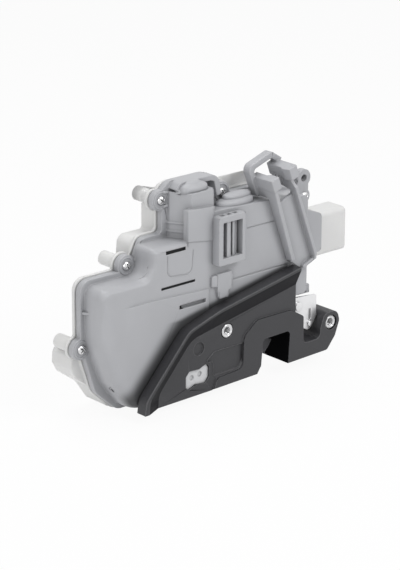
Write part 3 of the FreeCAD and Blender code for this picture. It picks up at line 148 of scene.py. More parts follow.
def finish(name, look):
    material = bpy.data.materials.new(name)
    material.use_nodes = True
    tree = material.node_tree
    surface = tree.nodes["Principled BSDF"]
    surface.inputs["Metallic"].default_value = look.get("metallic", 0.0)
    surface.inputs["Specular IOR Level"].default_value = look.get("gloss", 0.5)
    surface.inputs["Subsurface Weight"].default_value = look.get("depth", 0.0)
    surface.inputs["Subsurface Radius"].default_value = (0.004, 0.004, 0.0035)
    surface.inputs["Subsurface Scale"].default_value = 0.5
    skin = addNode(tree, "ShaderNodeGroup", node_tree=skinGroup)
    skin.inputs["Colour"].default_value = (*look["colour"], 1)
    skin.inputs["Roughness"].default_value = look["roughness"]
    skin.inputs["Mottle"].default_value = look["mottle"]
    skin.inputs["Grain Scale"].default_value = look["grainScale"]
    skin.inputs["Grain Depth"].default_value = look["grainDepth"]
    # painted highlight along edges and painted shade in inner corners
    paintedLight = addNode(tree, "ShaderNodeGroup", node_tree=paintedLightGroup)
    paintedLight.inputs["Edge Colour"].default_value = (*look["edgeColour"], 1)
    paintedLight.inputs["Edge Amount"].default_value = look["edge"]
    paintedLight.inputs["Corner Amount"].default_value = look["corner"]
    bump = addNode(tree, "ShaderNodeBump", {"Strength": look["bump"], "Distance": 0.0001})
    rounded = addNode(tree, "ShaderNodeBevel", {"Radius": look.get("rounding", 0.5) / 1000}, samples=6)
    tree.links.new(rounded.outputs["Normal"], bump.inputs["Normal"])
    tree.links.new(skin.outputs["Colour"], paintedLight.inputs["Colour"])
    tree.links.new(paintedLight.outputs["Colour"], surface.inputs["Base Color"])
    tree.links.new(skin.outputs["Roughness"], surface.inputs["Roughness"])
    tree.links.new(skin.outputs["Height"], bump.inputs["Height"])
    tree.links.new(bump.outputs["Normal"], surface.inputs["Normal"])
    return material


# edge colour and edge amount set each finish's painted edge highlight, corner its painted shade in inner corners
looks = {
    "greyPlastic": dict(colour=(0.43, 0.435, 0.455), roughness=0.42, mottle=0.03, grainScale=1400, grainDepth=0.5,
                        edgeColour=(0.62, 0.62, 0.64), edge=0.5, corner=0.45, rounding=1.1, bump=0.12),
    "milkPlastic": dict(colour=(0.74, 0.74, 0.735), roughness=0.34, mottle=0.03, grainScale=1200, grainDepth=0.4,
                        edgeColour=(0.9, 0.9, 0.9), edge=0.3, corner=0.18, rounding=1.4, bump=0.08, depth=0.12),
    "blackPlastic": dict(colour=(0.034, 0.034, 0.038), roughness=0.46, mottle=0.1, grainScale=2600, grainDepth=0.8,
                         edgeColour=(0.2, 0.2, 0.21), edge=0.9, corner=0.75, rounding=0.7, bump=0.3),
    # painted shade: darker copies of the black plastic for the flare's slope and the mouth's inner walls
    "flarePlastic": dict(colour=(0.012, 0.012, 0.014), roughness=0.55, mottle=0.1, grainScale=2600, grainDepth=0.6,
                         edgeColour=(0.14, 0.14, 0.15), edge=0.9, corner=0.5, rounding=0.7, bump=0.2, gloss=0.12),
    "deepPlastic": dict(colour=(0.0015, 0.0015, 0.002), roughness=0.8, mottle=0.1, grainScale=2600, grainDepth=0.6,
                        edgeColour=(0.05, 0.05, 0.05), edge=0.5, corner=0.6, rounding=0.4, bump=0.2, gloss=0.03),
    # painted shade for the floors and walls of the shallow slots
    "slotShade": dict(colour=(0.03, 0.03, 0.032), roughness=0.6, mottle=0.05, grainScale=1400, grainDepth=0.5,
                      edgeColour=(0.1, 0.1, 0.1), edge=0.2, corner=0.4, rounding=0.2, bump=0.1, gloss=0.3),
    "rotorPlastic": dict(colour=(0.66, 0.665, 0.68), roughness=0.38, mottle=0.03, grainScale=1400, grainDepth=0.4,
                         edgeColour=(0.8, 0.8, 0.8), edge=0.3, corner=0.5, rounding=0.5, bump=0.08),
    "blackRubber": dict(colour=(0.02, 0.02, 0.021), roughness=0.75, mottle=0.1, grainScale=1600, grainDepth=0.8,
                        edgeColour=(0.05, 0.05, 0.05), edge=0.3, corner=0.4, bump=0.25),
    "brightSteel": dict(colour=(0.72, 0.72, 0.73), roughness=0.22, mottle=0.06, grainScale=900, grainDepth=0.4,
                        edgeColour=(0.95, 0.95, 0.95), edge=0.5, corner=0.55, bump=0.06, metallic=1.0),
    "zincSheet": dict(colour=(0.83, 0.83, 0.84), roughness=0.33, mottle=0.07, grainScale=700, grainDepth=0.5,
                      edgeColour=(0.98, 0.98, 0.98), edge=0.5, corner=0.45, bump=0.08, metallic=0.85),
    "darkSteel": dict(colour=(0.045, 0.045, 0.05), roughness=0.42, mottle=0.1, grainScale=1200, grainDepth=0.5,
                      edgeColour=(0.22, 0.22, 0.23), edge=0.6, corner=0.4, bump=0.12, metallic=0.3),
    "brass": dict(colour=(0.74, 0.56, 0.28), roughness=0.28, mottle=0.06, grainScale=900, grainDepth=0.4,
                  edgeColour=(0.95, 0.8, 0.5), edge=0.4, corner=0.3, bump=0.06, metallic=1.0),
    "gearPlastic": dict(colour=(0.82, 0.80, 0.72), roughness=0.4, mottle=0.03, grainScale=1200, grainDepth=0.4,
                        edgeColour=(0.9, 0.9, 0.85), edge=0.3, corner=0.3, bump=0.08, depth=0.05),
}
finishes = {name: finish(name, look) for name, look in looks.items()}


# painted shadow of the black flare on the grey shell: reach and depth set how far and how dark it falls
flareShade = dict(
    sides=[((-63.7, -26.0), (-0.739, 0.674), 1.0), ((-9.0, 15.5), (-0.1852, 0.9827), 2.8)],  # point, way up, squeeze
    limits=[("X", 50.0, 54.0), ("Y", 7.0, 13.0)], reach=12.0, depth=0.86,
)


def makeShadedShell():  # painted shadow: the grey shell darkens towards the black flare that stands off it
    material = finishes["greyPlastic"].copy()
    material.name = "shadedShell"
    tree = material.node_tree
    surface = tree.nodes["Principled BSDF"]
    colour = surface.inputs["Base Color"].links[0].from_socket
    place = addNode(tree, "ShaderNodeTexCoord").outputs["Object"]
    away = []
    for (x, z), (a, b), squeeze in flareShade["sides"]:
        offset = addNode(tree, "ShaderNodeVectorMath", {1: (x / 1000, 0, z / 1000)}, operation="SUBTRACT")
        reach = addNode(tree, "ShaderNodeVectorMath", {1: (a * squeeze, 0, b * squeeze)}, operation="DOT_PRODUCT")
        tree.links.new(place, offset.inputs[0])
        tree.links.new(offset.outputs[0], reach.inputs[0])
        away.append(reach.outputs["Value"])
    fade = addNode(tree, "ShaderNodeMapRange", {"From Min": 0.0, "From Max": flareShade["reach"] / 1000,
                                                "To Min": flareShade["depth"], "To Max": 0.0},
                   interpolation_type="SMOOTHERSTEP")
    tree.links.new(mathOf(tree, "MAXIMUM", *away), fade.inputs["Value"])
    amount = fade.outputs[0]
    parts = addNode(tree, "ShaderNodeSeparateXYZ")
    tree.links.new(place, parts.inputs[0])
    for axis, start, end in flareShade["limits"]:
        limit = addNode(tree, "ShaderNodeMapRange", {"From Min": start / 1000, "From Max": end / 1000,
                                                     "To Min": 1.0, "To Max": 0.0})
        tree.links.new(parts.outputs[axis], limit.inputs["Value"])
        amount = mathOf(tree, "MULTIPLY", amount, limit.outputs[0])
    shaded = scaleColour(tree, colour, mathOf(tree, "SUBTRACT", 1.0, amount))
    tree.links.new(shaded, surface.inputs["Base Color"])
    return material


finishes["shadedShell"] = makeShadedShell()
slotFinish = {
    "grey_plastic": "greyPlastic", "white_plastic": "milkPlastic", "black_plastic": "blackPlastic",
    "black_rubber": "blackRubber", "bright_steel": "brightSteel", "black_steel": "darkSteel",
    "zinc_steel": "zincSheet", "brass": "brass", "natural_plastic": "gearPlastic",
}
nodeSlots = {part["node"]: part["material_slot"] for part in frame["record"]["subparts"]}
nodeBodies = {node: body for body, members in frame["record"]["behaviour"]["bodies"].items() for node in members}
for node, piece in frame["nodes"].items():
    piece.data.materials.clear()
    piece.data.materials.append(finishes[slotFinish[nodeSlots[node]]])
frame["nodes"]["emergency_lock_rotor"].data.materials[0] = finishes["rotorPlastic"]
print("finishes made")


softEdges = {
    "front_housing": dict(width=0.3, angle=28, segments=2, finish="shadedShell"),
    "rear_cover": dict(width=0.3, angle=28, segments=2, finish="milkPlastic"),
    "connector_housing": dict(width=0.4, angle=28, segments=2, finish="milkPlastic"),
    "guide_frame": dict(width=0.22, angle=30, segments=2, finish="greyPlastic"),
    "cable_bracket": dict(width=0.35, angle=28, segments=2, finish="greyPlastic"),
    "latch_housing": dict(width=0.28, angle=28, segments=2, finish="blackPlastic"),
    "release_lever": dict(width=0.12, angle=30, segments=2, finish="zincSheet"),
    "emergency_lock_rotor": dict(width=0.15, angle=30, segments=2, finish="rotorPlastic"),
    "housing_seal": dict(width=0.05, angle=40, segments=1, finish="blackRubber"),
}

mergeReach, spikeReach = 4e-6, 2.4e-3  # metres
shapeData = ("position", ".edge_verts", ".corner_vert", ".corner_edge")


def addPiece(name, data, look=None):
    piece = bpy.data.objects.new(name, data)
    stageCollection.objects.link(piece)
    if look:
        data.materials.append(finishes[look])
    return piece


def carry(piece, body):
    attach(piece, body)
    return piece


def meshFrom(shape, name):
    mesh = bpy.data.meshes.new(name)
    shape.to_mesh(mesh)
    shape.free()
    return mesh


def mergedMesh(node, name):  # a CAD node's loose triangles, joined
    shape = bmesh.new()
    shape.from_mesh(frame["nodes"][node].data)
    bmesh.ops.remove_doubles(shape, verts=shape.verts, dist=mergeReach)
    mesh = meshFrom(shape, name)
    for label in [attribute.name for attribute in mesh.attributes if attribute.name not in shapeData]:
        mesh.attributes.remove(mesh.attributes[label])
    return mesh


def pullSpikes(mesh, corners):  # a rounded edge stays near its corner
    tree = KDTree(len(corners))
    for i, corner in enumerate(corners):
        tree.insert(corner, i)
    tree.balance()
    pulled = 0
    for vert in mesh.vertices:
        nearest, _, far = tree.find(vert.co)
        if far > spikeReach:
            vert.co = nearest
            pulled += 1
    return pulled


def roundedPath(corners, steps=5):  # an outline in millimetres, its corners as short chords
    points = []
    for i, corner in enumerate(corners):
        here = Vector(corner[:2])
        if len(corner) < 3:
            points.append(here)
            continue
        before = (Vector(corners[i - 1][:2]) - here).normalized()
        after = (Vector(corners[(i + 1) % len(corners)][:2]) - here).normalized()
        reach = corner[2] / math.tan(before.angle(after) / 2)
        for step in range(steps + 1):
            part = step / steps
            points.append(here + before * (reach * (1 - part) ** 2) + after * (reach * part ** 2))
    return points


def easeIn(share):
    share = max(0.0, min(1.0, share))
    return share * share * (3 - 2 * share)


def cutAcross(shape, axis, places, within):  # new edges at fixed places along X or Z
    normal = Vector((1, 0, 0)) if axis == "x" else Vector((0, 0, 1))
    for spot in places:
        faces = [face for face in shape.faces if within(face.calc_center_median() * 1000)]
        edges = {edge for face in faces for edge in face.edges}
        verts = {vert for face in faces for vert in face.verts}
        bmesh.ops.bisect_plane(shape, geom=faces + list(edges) + list(verts), dist=1e-6,
                               plane_co=normal * spot / 1000, plane_no=normal)


shell = dict(
    face=4.0, flange=19.5, sideRound=9.0, topRound=4.0, roundEnd=-43.0, roundFoot=6.5, seamTop=29.0, seamLeft=-74.0,
    stepEnd=-12.5, gridStep=2.0, gridLeft=-88, gridLow=-33, gridColumns=22, gridRows=46, slotCut=-30.0,
    slots=[(-42.6, -27.9, 53.6, 55.8), (-46.0, -20.8, 33.3, 34.9), (-33.3, -29.8, 19.5, 22.1)],
    waves=(1.5, 26.5, 6.0, 16.8), deckHigh=72.0, deckFall=2 / 40.5,
    outline=[(-13, -34), (-66, -34, 8), (-78.5, -17, 12), (-88.5, 8, 20), (-88.5, 41.5, 6), (-51.5, 41.5, 9),
             (-51.5, 58, 3), (-30, 58)],
)
shellOutline = roundedPath(shell["outline"])


def outlineDistance(x, z):
    spot = Vector((x, z))
    nearest = 1e9
    for start, end in zip(shellOutline, shellOutline[1:]):
        along = end - start
        share = max(0.0, min(1.0, (spot - start).dot(along) / max(along.length_squared, 1e-9)))
        nearest = min(nearest, (start + along * share - spot).length)
    return nearest


def edgeRound(x, z):
    side, top = shell["sideRound"], shell["topRound"]
    radius = side - (side - top) * easeIn((z - 22) / 15)
    return min(radius, side - (side - top) * easeIn((x + 68) / 8)) if z < 0 else radius  # less round at the foot


crown = dict(foot=85.0, ramp=4.0, drop=1.6, coverDrop=3.2, right=11.0)


def lowerCrown(x, z, drop=crown["drop"]):  # the tower's rim is a little lower than its solid
    return z - drop * easeIn((z - crown["foot"]) / crown["ramp"]) if x < crown["right"] else z


def shapeShell(shape):
    left = lambda spot: spot.x < -42 and spot.y < 20 and spot.z < 59
    step, face, flange, end = (shell[key] for key in ("gridStep", "face", "flange", "roundEnd"))
    low, high, near, deep = shell["waves"]
    cutAcross(shape, "x", [shell["gridLeft"] + step * i for i in range(shell["gridColumns"])], left)
    cutAcross(shape, "z", [shell["gridLow"] + step * i for i in range(shell["gridRows"])], left)
    # this cut lets only the left end of the lowest slot take the painted slot shade
    cutAcross(shape, "x", [shell["slotCut"]], lambda spot: -34 < spot.x < -13 and 19 < spot.z < 23 and spot.y < 6)
    for vert in shape.verts:
        x, y, z = vert.co * 1000
        if 1.9 < y < face and x < shell["stepEnd"] and z < shell["seamTop"] + 0.5:  # the step fades at left and foot
            y = face - (face - y) * easeIn((z - 6) / 20) * easeIn((x - shell["seamLeft"]) / 8)
        if x < end and y < flange:
            radius, far = edgeRound(x, z), outlineDistance(x, z)
            if far < radius:
                back = radius - math.sqrt(radius ** 2 - (radius - far) ** 2)
                share = min(1.0, (flange - y) / (flange - shell["roundFoot"]))
                y += back * share * easeIn((end - x) / 5)
        deck = shell["deckHigh"] - (x + 6.5) * shell["deckFall"]
        if low < x < high and near < y < deep and deck < z < deck + 4:  # the deck is flat under its bumps
            z = deck
        vert.co = Vector((x, y, lowerCrown(x, z))) / 1000
    bmesh.ops.remove_doubles(shape, verts=shape.verts, dist=mergeReach)
    # the slots' floors and walls take the slot finish, a painted shade
    for face in shape.faces:
        spot = face.calc_center_median() * 1000
        if 4.3 < spot.y < 6 and any(a < spot.x < b and c < spot.z < d for a, b, c, d in shell["slots"]):
            face.material_index = 1


def shapeSeal(shape):
    for vert in shape.verts:
        vert.co.z = lowerCrown(vert.co.x * 1000, vert.co.z * 1000) / 1000


cover = dict(
    parting=26.3, shoulder=73.5, ramp=3.0, rampCuts=5, flat=0.14, towerRight=8.2,
    boxLeft=13.4, boxRight=38.8, boxLow=73.2, boxShare=0.44,
    posts=[(-33.0, 79.8), (12.3, 76.0)], postRadius=4.2, postMargin=0.15, postProud=0.08, postTaper=0.97, postEnd=39.8,
)


def shapeCover(shape):  # the cover is shallow behind the tower's crown
    parting, shoulder, ramp, boxLow = (cover[key] for key in ("parting", "shoulder", "ramp", "boxLow"))
    behind = lambda spot: spot.x < cover["towerRight"] and spot.y > parting - 1 and spot.z > 60
    cutAcross(shape, "z", [shoulder + ramp * i / cover["rampCuts"] for i in range(cover["rampCuts"] + 1)], behind)
    kept = (cover["postRadius"] + cover["postMargin"]) ** 2
    for vert in shape.verts:
        x, y, z = vert.co * 1000
        if y < parting or any((x - a) ** 2 + (z - b) ** 2 < kept for a, b in cover["posts"]):
            vert.co.z = lowerCrown(x, z, crown["coverDrop"]) / 1000
            continue
        if x < cover["towerRight"] and z > shoulder:
            share = 1 - (1 - cover["flat"]) * easeIn((z - shoulder) / ramp)
            y = parting + (y - parting) * share
        elif cover["boxLeft"] < x < cover["boxRight"] and z > boxLow:
            z = boxLow + (z - boxLow) * cover["boxShare"]
        vert.co = Vector((x, y, lowerCrown(x, z, crown["coverDrop"]))) / 1000
    x, z = cover["posts"][0]  # this post stands on the shallow part, so it is made whole again
    long = cover["postEnd"] - parting
    place = Matrix.Translation(Vector((x, parting + long / 2, z)) / 1000) @ Matrix.Rotation(math.pi / 2, 4, "X")
    radius = (cover["postRadius"] + cover["postProud"]) / 1000
    bmesh.ops.create_cone(shape, cap_ends=True, segments=48, radius1=radius, radius2=radius * cover["postTaper"],
                          depth=long / 1000, matrix=place)


latch = dict(mouth=(25.2, 49.2, -10.6), slopeLow=0.3, slopeHigh=0.985, lipBack=-0.2, lipRight=55.0)


def shadeLatch(shape):  # painted shade: the flare's slope, turned from the light, takes a darker copy of the black plastic, and the mouth's inner walls a darker one still
    left, right, top = latch["mouth"]
    for face in shape.faces:
        spot, facing = face.calc_center_median() * 1000, face.normal
        if left < spot.x < right and spot.z < top and abs(facing.y) < 0.5 and spot.y > -1:
            face.material_index = 2
        elif (-facing.y > latch["slopeLow"] and -facing.y < latch["slopeHigh"] and spot.y < latch["lipBack"]
              and spot.x < latch["lipRight"]):
            face.material_index = 1


def softPiece(node, soft):
    name = node.title().replace("_", "")
    name = name[0].lower() + name[1:]
    piece = addPiece(name, mergedMesh(node, name))
    corners = [vert.co.copy() for vert in piece.data.vertices]
    edges = piece.modifiers.new("roundedEdges", "BEVEL")
    edges.width = soft["width"] / 1000
    edges.segments = soft["segments"]
    edges.limit_method = "ANGLE"
    edges.angle_limit = math.radians(soft["angle"])
    edges.use_clamp_overlap = False
    edges.miter_outer = "MITER_ARC"
    piece.data = bpy.data.meshes.new_from_object(piece.evaluated_get(bpy.context.evaluated_depsgraph_get()))
    piece.data.name = name
    piece.modifiers.clear()
    pulled = pullSpikes(piece.data, corners)
    print(name, "rounded,", pulled, "stray corners pulled back")
    for label in [soft["finish"]] + soft.get("shades", []):
        piece.data.materials.append(finishes[label])
    if "change" in soft:
        shape = bmesh.new()
        shape.from_mesh(piece.data)
        shape.normal_update()
        soft["change"](shape)
        shape.to_mesh(piece.data)
        shape.free()
    piece.data.shade_smooth()
    even = piece.modifiers.new("evenShading", "WEIGHTED_NORMAL")
    even.keep_sharp = True
    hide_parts(node)
    carry(piece, nodeBodies[node])


softEdges["front_housing"].update(change=shapeShell, shades=["slotShade"])
softEdges["rear_cover"].update(change=shapeCover)
softEdges["housing_seal"].update(change=shapeSeal)
softEdges["latch_housing"].update(change=shadeLatch, shades=["flarePlastic", "deepPlastic"])
for node, soft in softEdges.items():
    softPiece(node, soft)
print("moulded pieces softened")


def mound(name, x, y, rings, sides=56):  # a moulded dome from rings: height, half width, half depth, squareness
    shape = bmesh.new()
    loops = []
    for high, wide, deep, square in rings:
        loop = []
        for i in range(sides):
            turn = 2 * math.pi * i / sides
            c, s = math.cos(turn), math.sin(turn)
            across = math.copysign(abs(c) ** (2 / square), c) * wide
            inward = math.copysign(abs(s) ** (2 / square), s) * deep
            loop.append(shape.verts.new(Vector((x + across, y + inward, high)) / 1000))
        loops.append(loop)
    for lower, upper in zip(loops, loops[1:]):
        for i in range(sides):
            shape.faces.new((lower[i], lower[(i + 1) % sides], upper[(i + 1) % sides], upper[i]))
    shape.faces.new(loops[0][::-1])
    shape.faces.new(loops[-1])
    bmesh.ops.recalc_face_normals(shape, faces=shape.faces)
    mesh = meshFrom(shape, name)
    mesh.shade_smooth()
    carry(addPiece(name, mesh, "greyPlastic"), "unit")


towerLid = dict(x=-15.8, y=12.4, foot=84.0, wide=9.6, deep=5.4, rings=[
    (0, 0, 0, 2.6), (2.4, 0.2, 0.1, 2.6), (3.4, 0.7, 0.5, 2.6), (4.2, 1.8, 1.2, 2.4), (4.7, 3.4, 2.0, 2.2),
    (4.9, 4.2, 2.3, 2.0), (5.5, 4.8, 2.6, 2.0), (5.9, 5.9, 3.3, 2.0), (6.05, 7.4, 4.4, 2.0),
])  # each ring: rise, what it loses in half width and half depth, squareness
mound("towerLid", towerLid["x"], towerLid["y"], [
    (towerLid["foot"] + rise, towerLid["wide"] - narrow, towerLid["deep"] - shallow, square)
    for rise, narrow, shallow, square in towerLid["rings"]
])

bumpProfile = ((0, 0), (0.55, 0), (0.8, 0.4), (0.93, 1.2), (1.0, 2.6), (1.03, 4.0))  # share of height, inset
deckBumps = [dict(x=14.5, y=11.2, foot=69.5, wide=13.6, deep=5.6, high=4.6),
             dict(x=17.5, y=12.6, foot=73.0, wide=10.2, deep=4.2, high=3.6)]
for number, bump in enumerate(deckBumps, 1):
    mound("deckBump%d" % number, bump["x"], bump["y"], [
        (bump["foot"] + bump["high"] * share, bump["wide"] - inset, bump["deep"] - inset * 0.8, 2.2)
        for share, inset in bumpProfile
    ])
print("tower lid and deck bumps made")


plates = {  # outline in millimetres, the span it is extruded through, and the axis of that span
    "tabLedge": dict(axis="y", span=(2.3, 4.6), outline=[
        (-9.6, 27.6), (-9.6, 33.4), (-8.6, 34.2), (5.4, 32.8), (6.3, 31.8), (6.3, 26.4), (3.2, 26.4), (3.2, 20.6),
        (-4.8, 20.6), (-4.8, 26.9)]),
    "bossRibUpper": dict(axis="y", span=(18.4, 20.6), outline=[
        (-32.2, 83.9), (-31.6, 85.2), (-22.3, 83.2), (-22.0, 81.9)]),
    "bossRibLower": dict(axis="y", span=(18.4, 20.6), outline=[
        (-32.0, 75.4), (-31.4, 76.9), (-25.2, 77.3), (-25.0, 76.0)]),
    "sideGusset": dict(axis="z", span=(25.6, 27.2), outline=[
        (-90.6, 20.2), (-90.4, 18.6), (-86.9, 13.4), (-84.6, 13.0), (-84.6, 20.2)]),
    "towerStep": dict(axis="y", span=(3.3, 4.4), outline=[(-26.6, 57.9), (-26.6, 76.5), (-7.8, 74.9), (-7.8, 54.9)]),
}


def mouldedPlate(name, plate, edge=0.32):
    shape = bmesh.new()
    lift = (lambda a, b, c: (a, c, b)) if plate["axis"] == "y" else (lambda a, b, c: (a, b, c))
    ends = [[shape.verts.new(Vector(lift(a, b, level)) / 1000) for a, b in plate["outline"]]
            for level in plate["span"]]
    shape.faces.new(ends[0])
    shape.faces.new(ends[1][::-1])
    for i in range(len(ends[0])):
        j = (i + 1) % len(ends[0])
        shape.faces.new((ends[0][i], ends[0][j], ends[1][j], ends[1][i]))
    bmesh.ops.recalc_face_normals(shape, faces=shape.faces)
    bmesh.ops.bevel(shape, geom=shape.edges[:], offset=edge / 1000, segments=3, profile=0.5, affect="EDGES",
                    clamp_overlap=True)
    mesh = meshFrom(shape, name)
    mesh.shade_smooth()
    carry(addPiece(name, mesh, "greyPlastic"), "unit")


for name, plate in plates.items():
    mouldedPlate(name, plate)
print("small ribs and ledges made")


# Geometry Nodes trees for what repeats or follows a line.

def newTree(name, inputs):
    tree = bpy.data.node_groups.new(name, "GeometryNodeTree")
    tree.is_modifier = True
    tree.interface.new_socket("Geometry", in_out="INPUT", socket_type="NodeSocketGeometry")
    for label, kind, value in inputs:
        socket = tree.interface.new_socket(label, in_out="INPUT", socket_type=kind)
        if value is not None:
            socket.default_value = value
    tree.interface.new_socket("Material", in_out="INPUT", socket_type="NodeSocketMaterial")
    tree.interface.new_socket("Geometry", in_out="OUTPUT", socket_type="NodeSocketGeometry")
    return tree, tree.nodes.new("NodeGroupInput"), tree.nodes.new("NodeGroupOutput")


def endTree(tree, given, made, result, sharp=0.6):  # real geometry, smooth but for its sharp edges, with its material
    link = tree.links.new
    real = addNode(tree, "GeometryNodeRealizeInstances")
    smooth = addNode(tree, "GeometryNodeSetShadeSmooth", {"Shade Smooth": True}, domain="FACE")
    angle = addNode(tree, "GeometryNodeInputMeshEdgeAngle")
    wide = addNode(tree, "FunctionNodeCompare", {1: sharp}, data_type="FLOAT", operation="GREATER_THAN")
    crisp = addNode(tree, "GeometryNodeSetShadeSmooth", {"Shade Smooth": False}, domain="EDGE")
    paint = addNode(tree, "GeometryNodeSetMaterial")
    link(result, real.inputs["Geometry"])
    link(real.outputs["Geometry"], smooth.inputs["Geometry"])
    link(smooth.outputs["Geometry"], crisp.inputs["Geometry"])
    link(angle.outputs["Unsigned Angle"], wide.inputs[0])
    link(wide.outputs["Result"], crisp.inputs["Selection"])
    link(crisp.outputs["Geometry"], paint.inputs["Geometry"])
    link(given.outputs["Material"], paint.inputs["Material"])
    link(paint.outputs["Geometry"], made.inputs["Geometry"])


def vectorOf(tree, x=None, y=None, z=None):
    node = addNode(tree, "ShaderNodeCombineXYZ")
    for socket, source in zip(node.inputs, (x, y, z)):
        if isinstance(source, float):
            socket.default_value = source
        elif source is not None:
            tree.links.new(source, socket)
    return node.outputs[0]


def makeScrewTree():
    tree, given, made = newTree("crossHeadScrews", [
        ("Head Radius", "NodeSocketFloat", 0.0028), ("Head Height", "NodeSocketFloat", 0.0018),
        ("Recess Width", "NodeSocketFloat", 0.0007), ("Recess Length", "NodeSocketFloat", 0.0034),
        ("Recess Depth", "NodeSocketFloat", 0.001), ("Shank Radius", "NodeSocketFloat", 0.00145),
        ("Shank Length", "NodeSocketFloat", 0.0138), ("Seed", "NodeSocketInt", 3),
    ])
    link = tree.links.new
    ball = addNode(tree, "GeometryNodeMeshUVSphere", {"Segments": 36, "Rings": 18})
    link(given.outputs["Head Radius"], ball.inputs["Radius"])
    head = addNode(tree, "GeometryNodeTransform")
    flat = mathOf(tree, "DIVIDE", given.outputs["Head Height"], given.outputs["Head Radius"])
    link(ball.outputs["Mesh"], head.inputs["Geometry"])
    link(vectorOf(tree, 1.0, flat, 1.0), head.inputs["Scale"])
    cutter = addNode(tree, "GeometryNodeMeshBoolean", operation="DIFFERENCE")
    link(head.outputs["Geometry"], cutter.inputs["Mesh 1"])
    deep = mathOf(tree, "MULTIPLY", given.outputs["Recess Depth"], 2.0)
    front = mathOf(tree, "MULTIPLY", given.outputs["Head Height"], -1.0)
    for wide, tall in (("Recess Width", "Recess Length"), ("Recess Length", "Recess Width")):
        bar = addNode(tree, "GeometryNodeMeshCube")
        link(vectorOf(tree, given.outputs[wide], deep, given.outputs[tall]), bar.inputs["Size"])
        moved = addNode(tree, "GeometryNodeTransform")
        link(bar.outputs["Mesh"], moved.inputs["Geometry"])
        link(vectorOf(tree, 0.0, front, 0.0), moved.inputs["Translation"])
        link(moved.outputs["Geometry"], cutter.inputs["Mesh 2"])
    shank = addNode(tree, "GeometryNodeMeshCylinder", {"Vertices": 20})
    link(given.outputs["Shank Radius"], shank.inputs["Radius"])
    link(given.outputs["Shank Length"], shank.inputs["Depth"])
    seated = addNode(tree, "GeometryNodeTransform", {"Rotation": (math.pi / 2, 0, 0)})
    link(shank.outputs["Mesh"], seated.inputs["Geometry"])
    half = mathOf(tree, "MULTIPLY", given.outputs["Shank Length"], 0.5)
    link(vectorOf(tree, 0.0, half, 0.0), seated.inputs["Translation"])
    whole = addNode(tree, "GeometryNodeJoinGeometry")
    link(cutter.outputs["Mesh"], whole.inputs["Geometry"])
    link(seated.outputs["Geometry"], whole.inputs["Geometry"])
    turn = addNode(tree, "FunctionNodeRandomValue", data_type="FLOAT")
    turn.inputs[2].default_value = 0.2
    turn.inputs[3].default_value = 1.3
    link(given.outputs["Seed"], turn.inputs["Seed"])
    spread = addNode(tree, "GeometryNodeInstanceOnPoints")
    link(given.outputs["Geometry"], spread.inputs["Points"])
    link(whole.outputs["Geometry"], spread.inputs["Instance"])
    link(vectorOf(tree, 0.0, turn.outputs[1], 0.0), spread.inputs["Rotation"])
    endTree(tree, given, made, spread.outputs["Instances"])
    return tree


def makeRingTree():  # rings about Y in a row behind each point: thread turns, collars
    tree, given, made = newTree("ringRows", [
        ("Ring Radius", "NodeSocketFloat", 0.0028), ("Wire Radius", "NodeSocketFloat", 0.0004),
        ("Rings", "NodeSocketInt", 1), ("Pitch", "NodeSocketFloat", 0.001),
    ])
    link = tree.links.new
    ring = addNode(tree, "GeometryNodeCurvePrimitiveCircle", {"Resolution": 48})
    wire = addNode(tree, "GeometryNodeCurvePrimitiveCircle", {"Resolution": 8})
    link(given.outputs["Ring Radius"], ring.inputs["Radius"])
    link(given.outputs["Wire Radius"], wire.inputs["Radius"])
    tube = addNode(tree, "GeometryNodeCurveToMesh")
    link(ring.outputs["Curve"], tube.inputs["Curve"])
    link(wire.outputs["Curve"], tube.inputs["Profile Curve"])
    stand = addNode(tree, "GeometryNodeTransform", {"Rotation": (math.pi / 2, 0, 0)})
    link(tube.outputs["Mesh"], stand.inputs["Geometry"])
    row = addNode(tree, "GeometryNodeMeshLine", mode="OFFSET")
    link(given.outputs["Rings"], row.inputs["Count"])
    link(vectorOf(tree, 0.0, given.outputs["Pitch"], 0.0), row.inputs["Offset"])
    turns = addNode(tree, "GeometryNodeInstanceOnPoints")
    link(row.outputs["Mesh"], turns.inputs["Points"])
    link(stand.outputs["Geometry"], turns.inputs["Instance"])
    spread = addNode(tree, "GeometryNodeInstanceOnPoints")
    link(given.outputs["Geometry"], spread.inputs["Points"])
    link(turns.outputs["Instances"], spread.inputs["Instance"])
    endTree(tree, given, made, spread.outputs["Instances"], 1.2)
    return tree


def makeBeadTree():  # a rounded bead along a line, its corners rounded too
    tree, given, made = newTree("beadAlongLine", [
        ("Bead Radius", "NodeSocketFloat", 0.0003), ("Corner Radius", "NodeSocketFloat", 0.002),
    ])
    link = tree.links.new
    line = addNode(tree, "GeometryNodeMeshToCurve")
    soft = addNode(tree, "GeometryNodeFilletCurve", {"Limit Radius": True, "Count": 6}, mode="POLY")
    wire = addNode(tree, "GeometryNodeCurvePrimitiveCircle", {"Resolution": 10})
    tube = addNode(tree, "GeometryNodeCurveToMesh", {"Fill Caps": True})
    link(given.outputs["Geometry"], line.inputs["Mesh"])
    link(line.outputs["Curve"], soft.inputs["Curve"])
    link(given.outputs["Corner Radius"], soft.inputs["Radius"])
    link(given.outputs["Bead Radius"], wire.inputs["Radius"])
    link(soft.outputs["Curve"], tube.inputs["Curve"])
    link(wire.outputs["Curve"], tube.inputs["Profile Curve"])
    endTree(tree, given, made, tube.outputs["Mesh"], 1.2)
    return tree


screwTree, ringTree, beadTree = makeScrewTree(), makeRingTree(), makeBeadTree()


